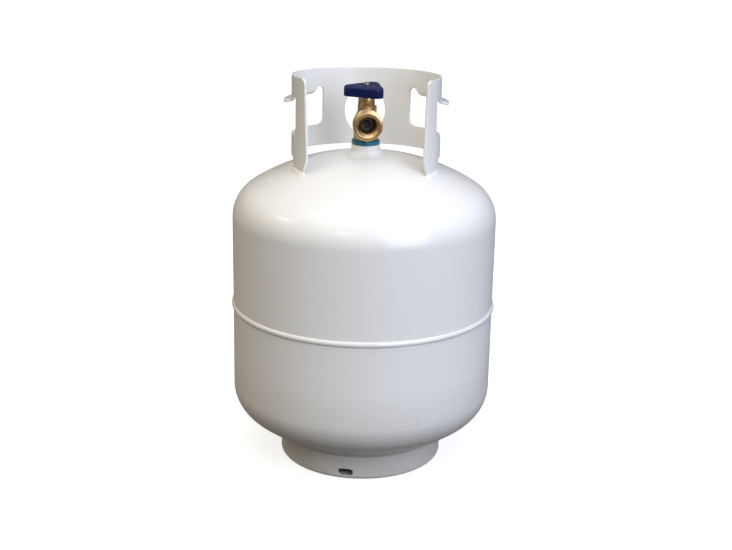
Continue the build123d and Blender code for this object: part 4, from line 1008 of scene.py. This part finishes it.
FLOOR_HALF = 12.0
FLOOR_SHADE = (0.45, 0.45, 0.45, 1)
FLOOR_GLOW = 0.74
FLOOR_GLOW_FROM = 0.088
FLOOR_GLOW_FULL = 0.094
FLOOR_MIRRORED = (1.0, 0.93, 0.84, 1)
FLOOR_MIRRORED_GLOW = 0.22
WORLD_LEFT = (1.06, 0.90, 0.62, 1)
WORLD_MIDDLE = (0.76, 0.75, 0.73, 1)
WORLD_RIGHT = (0.82, 0.89, 1.16, 1)
WORLD_STRENGTH = 0.85
LIGHTS = {
    "Overhead": ((0.0, -0.35, 2.0), (0, 0, 0.3), (1.8, 1.3), 11, (1.0, 0.985, 0.95)),
    "Key_right": ((1.25, -1.7, 1.0), (0, 0, 0.22), (1.4, 1.6), 32, (0.80, 0.87, 1.0)),
    "Window_left": ((-1.62, -0.08, 1.56), (-0.09, -0.11, 0.317), (0.5, 0.2), 2.2, (1.0, 0.96, 0.88)),
    "Window_front": ((-0.66, -1.6, 1.53), (-0.03, -0.144, 0.312), (0.45, 0.18), 2.2, (1.0, 0.99, 0.95)),
}


def make_floor():
    """A wide plain pale floor that looks bright but throws little light back at the object."""
    mesh = bpy.data.meshes.new("Floor")
    corners = [(x * FLOOR_HALF, y * FLOOR_HALF, 0) for x, y in ((-1, -1), (1, -1), (1, 1), (-1, 1))]
    mesh.from_pydata(corners, [], [(0, 1, 2, 3)])
    floor = new_object("Floor", mesh)
    look = Look("pale_floor")
    nodes, links = look.nodes, look.links
    look.set(
        Base_Color=look.mix(look.noise(3, 3), (0.045, 0.043, 0.04), (0.052, 0.05, 0.047)),
        Roughness=0.9,
        Specular_IOR_Level=0.1,
    )
    look.bump((look.noise(900, 2), 0.00002))
    pale = nodes.new("ShaderNodeBsdfDiffuse")
    pale.inputs["Color"].default_value = FLOOR_SHADE
    glow = nodes.new("ShaderNodeEmission")
    away = nodes.new("ShaderNodeVectorMath")
    away.operation = "LENGTH"
    links.new(look.place, away.inputs[0])
    shine = look.spread(away.outputs["Value"], FLOOR_GLOW_FROM, FLOOR_GLOW_FULL, 0.0, FLOOR_GLOW)
    links.new(shine, glow.inputs["Strength"])
    seen = nodes.new("ShaderNodeAddShader")
    links.new(pale.outputs[0], seen.inputs[0])
    links.new(glow.outputs[0], seen.inputs[1])
    path = nodes.new("ShaderNodeLightPath")
    mirrored_floor = nodes.new("ShaderNodeEmission")
    mirrored_floor.inputs["Color"].default_value = FLOOR_MIRRORED
    mirrored_floor.inputs["Strength"].default_value = FLOOR_MIRRORED_GLOW
    # Shiny surfaces see a dim warm floor, the camera sees a bright one, and the rest of the light sees
    # the dark one, so that the underside of the object stays shaded.
    glossy = nodes.new("ShaderNodeMixShader")
    links.new(path.outputs["Is Glossy Ray"], glossy.inputs["Fac"])
    links.new(look.shader.outputs[0], glossy.inputs[1])
    links.new(mirrored_floor.outputs[0], glossy.inputs[2])
    choose = nodes.new("ShaderNodeMixShader")
    links.new(path.outputs["Is Camera Ray"], choose.inputs["Fac"])
    links.new(glossy.outputs[0], choose.inputs[1])
    links.new(seen.outputs[0], choose.inputs[2])
    links.new(choose.outputs[0], nodes["Material Output"].inputs["Surface"])
    mesh.materials.append(look.material)


def area_light(name, place, target, size, power, colour):
    """A soft rectangular light that faces a point."""
    data = bpy.data.lights.new(name, "AREA")
    data.shape = "RECTANGLE"
    data.size, data.size_y = size
    data.energy = power
    data.color = colour
    light = bpy.data.objects.new(name, data)
    bpy.context.scene.collection.objects.link(light)
    light.location = place
    light.rotation_euler = (Vector(target) - Vector(place)).to_track_quat("-Z", "Y").to_euler()


def make_world():
    """Studio surround: warmer on the left, cooler on the right, dimmer behind and near the horizon."""
    world = bpy.data.worlds.new("Studio")
    bpy.context.scene.world = world
    world.use_nodes = True
    nodes, links = world.node_tree.nodes, world.node_tree.links
    background = nodes["Background"]
    coordinates = nodes.new("ShaderNodeTexCoord")
    split = nodes.new("ShaderNodeSeparateXYZ")
    links.new(coordinates.outputs["Generated"], split.inputs[0])

    def fade(direction, low, high, start, end):
        """A factor that goes from start to end as the direction's share goes from low to high."""
        node = nodes.new("ShaderNodeMapRange")
        links.new(split.outputs[direction], node.inputs["Value"])
        for key, number in zip(("From Min", "From Max", "To Min", "To Max"), (low, high, start, end)):
            node.inputs[key].default_value = number
        return node.outputs["Result"]

    ramp = nodes.new("ShaderNodeValToRGB")
    links.new(fade("X", -1.0, 1.0, 0.0, 1.0), ramp.inputs["Fac"])
    ramp.color_ramp.elements[0].color = WORLD_LEFT
    ramp.color_ramp.elements[1].color = WORLD_RIGHT
    ramp.color_ramp.elements.new(0.5).color = WORLD_MIDDLE
    strength = nodes.new("ShaderNodeMath")
    strength.operation = "MULTIPLY"
    links.new(fade("Y", -0.1, 0.75, 1.0, 0.4), strength.inputs[0])
    links.new(fade("Z", 0.05, 0.5, 0.15, 1.37), strength.inputs[1])
    dimmed = nodes.new("ShaderNodeVectorMath")
    dimmed.operation = "SCALE"
    links.new(ramp.outputs["Color"], dimmed.inputs[0])
    links.new(strength.outputs[0], dimmed.inputs["Scale"])
    links.new(dimmed.outputs[0], background.inputs["Color"])
    background.inputs["Strength"].default_value = WORLD_STRENGTH


def make_camera():
    """The camera at the photograph's place, pitch, yaw and roll."""
    pitch, yaw, roll = (math.radians(a) for a in (CAMERA_PITCH, CAMERA_YAW, CAMERA_ROLL))
    ahead = Vector((math.sin(yaw) * math.cos(pitch), math.cos(yaw) * math.cos(pitch), -math.sin(pitch)))
    right = Vector((math.cos(yaw), -math.sin(yaw), 0))
    up = right.cross(ahead)
    rolled_right = right * math.cos(roll) + up * math.sin(roll)
    rolled_up = up * math.cos(roll) - right * math.sin(roll)
    data = bpy.data.cameras.new("Camera")
    data.lens = CAMERA_LENS
    data.sensor_width = SENSOR_WIDTH
    camera = bpy.data.objects.new("Camera", data)
    bpy.context.scene.collection.objects.link(camera)
    axes = Matrix((rolled_right, rolled_up, -ahead)).transposed()
    camera.matrix_world = Matrix.Translation(CAMERA_PLACE) @ axes.to_4x4()
    bpy.context.scene.camera = camera


make_shells()
make_girth_weld()
make_boss()
make_collar()
make_collar_welds()
make_foot_ring()
make_foot_weld()
make_forging()
make_outlet()
make_relief_barrel()
make_sealant()
make_bleeder_knurl()
dress_cad_nodes()
make_springs()

make_floor()
make_world()
for title, setting in LIGHTS.items():
    area_light(title, *setting)
make_camera()
bpy.context.scene.view_settings.view_transform = "Standard"
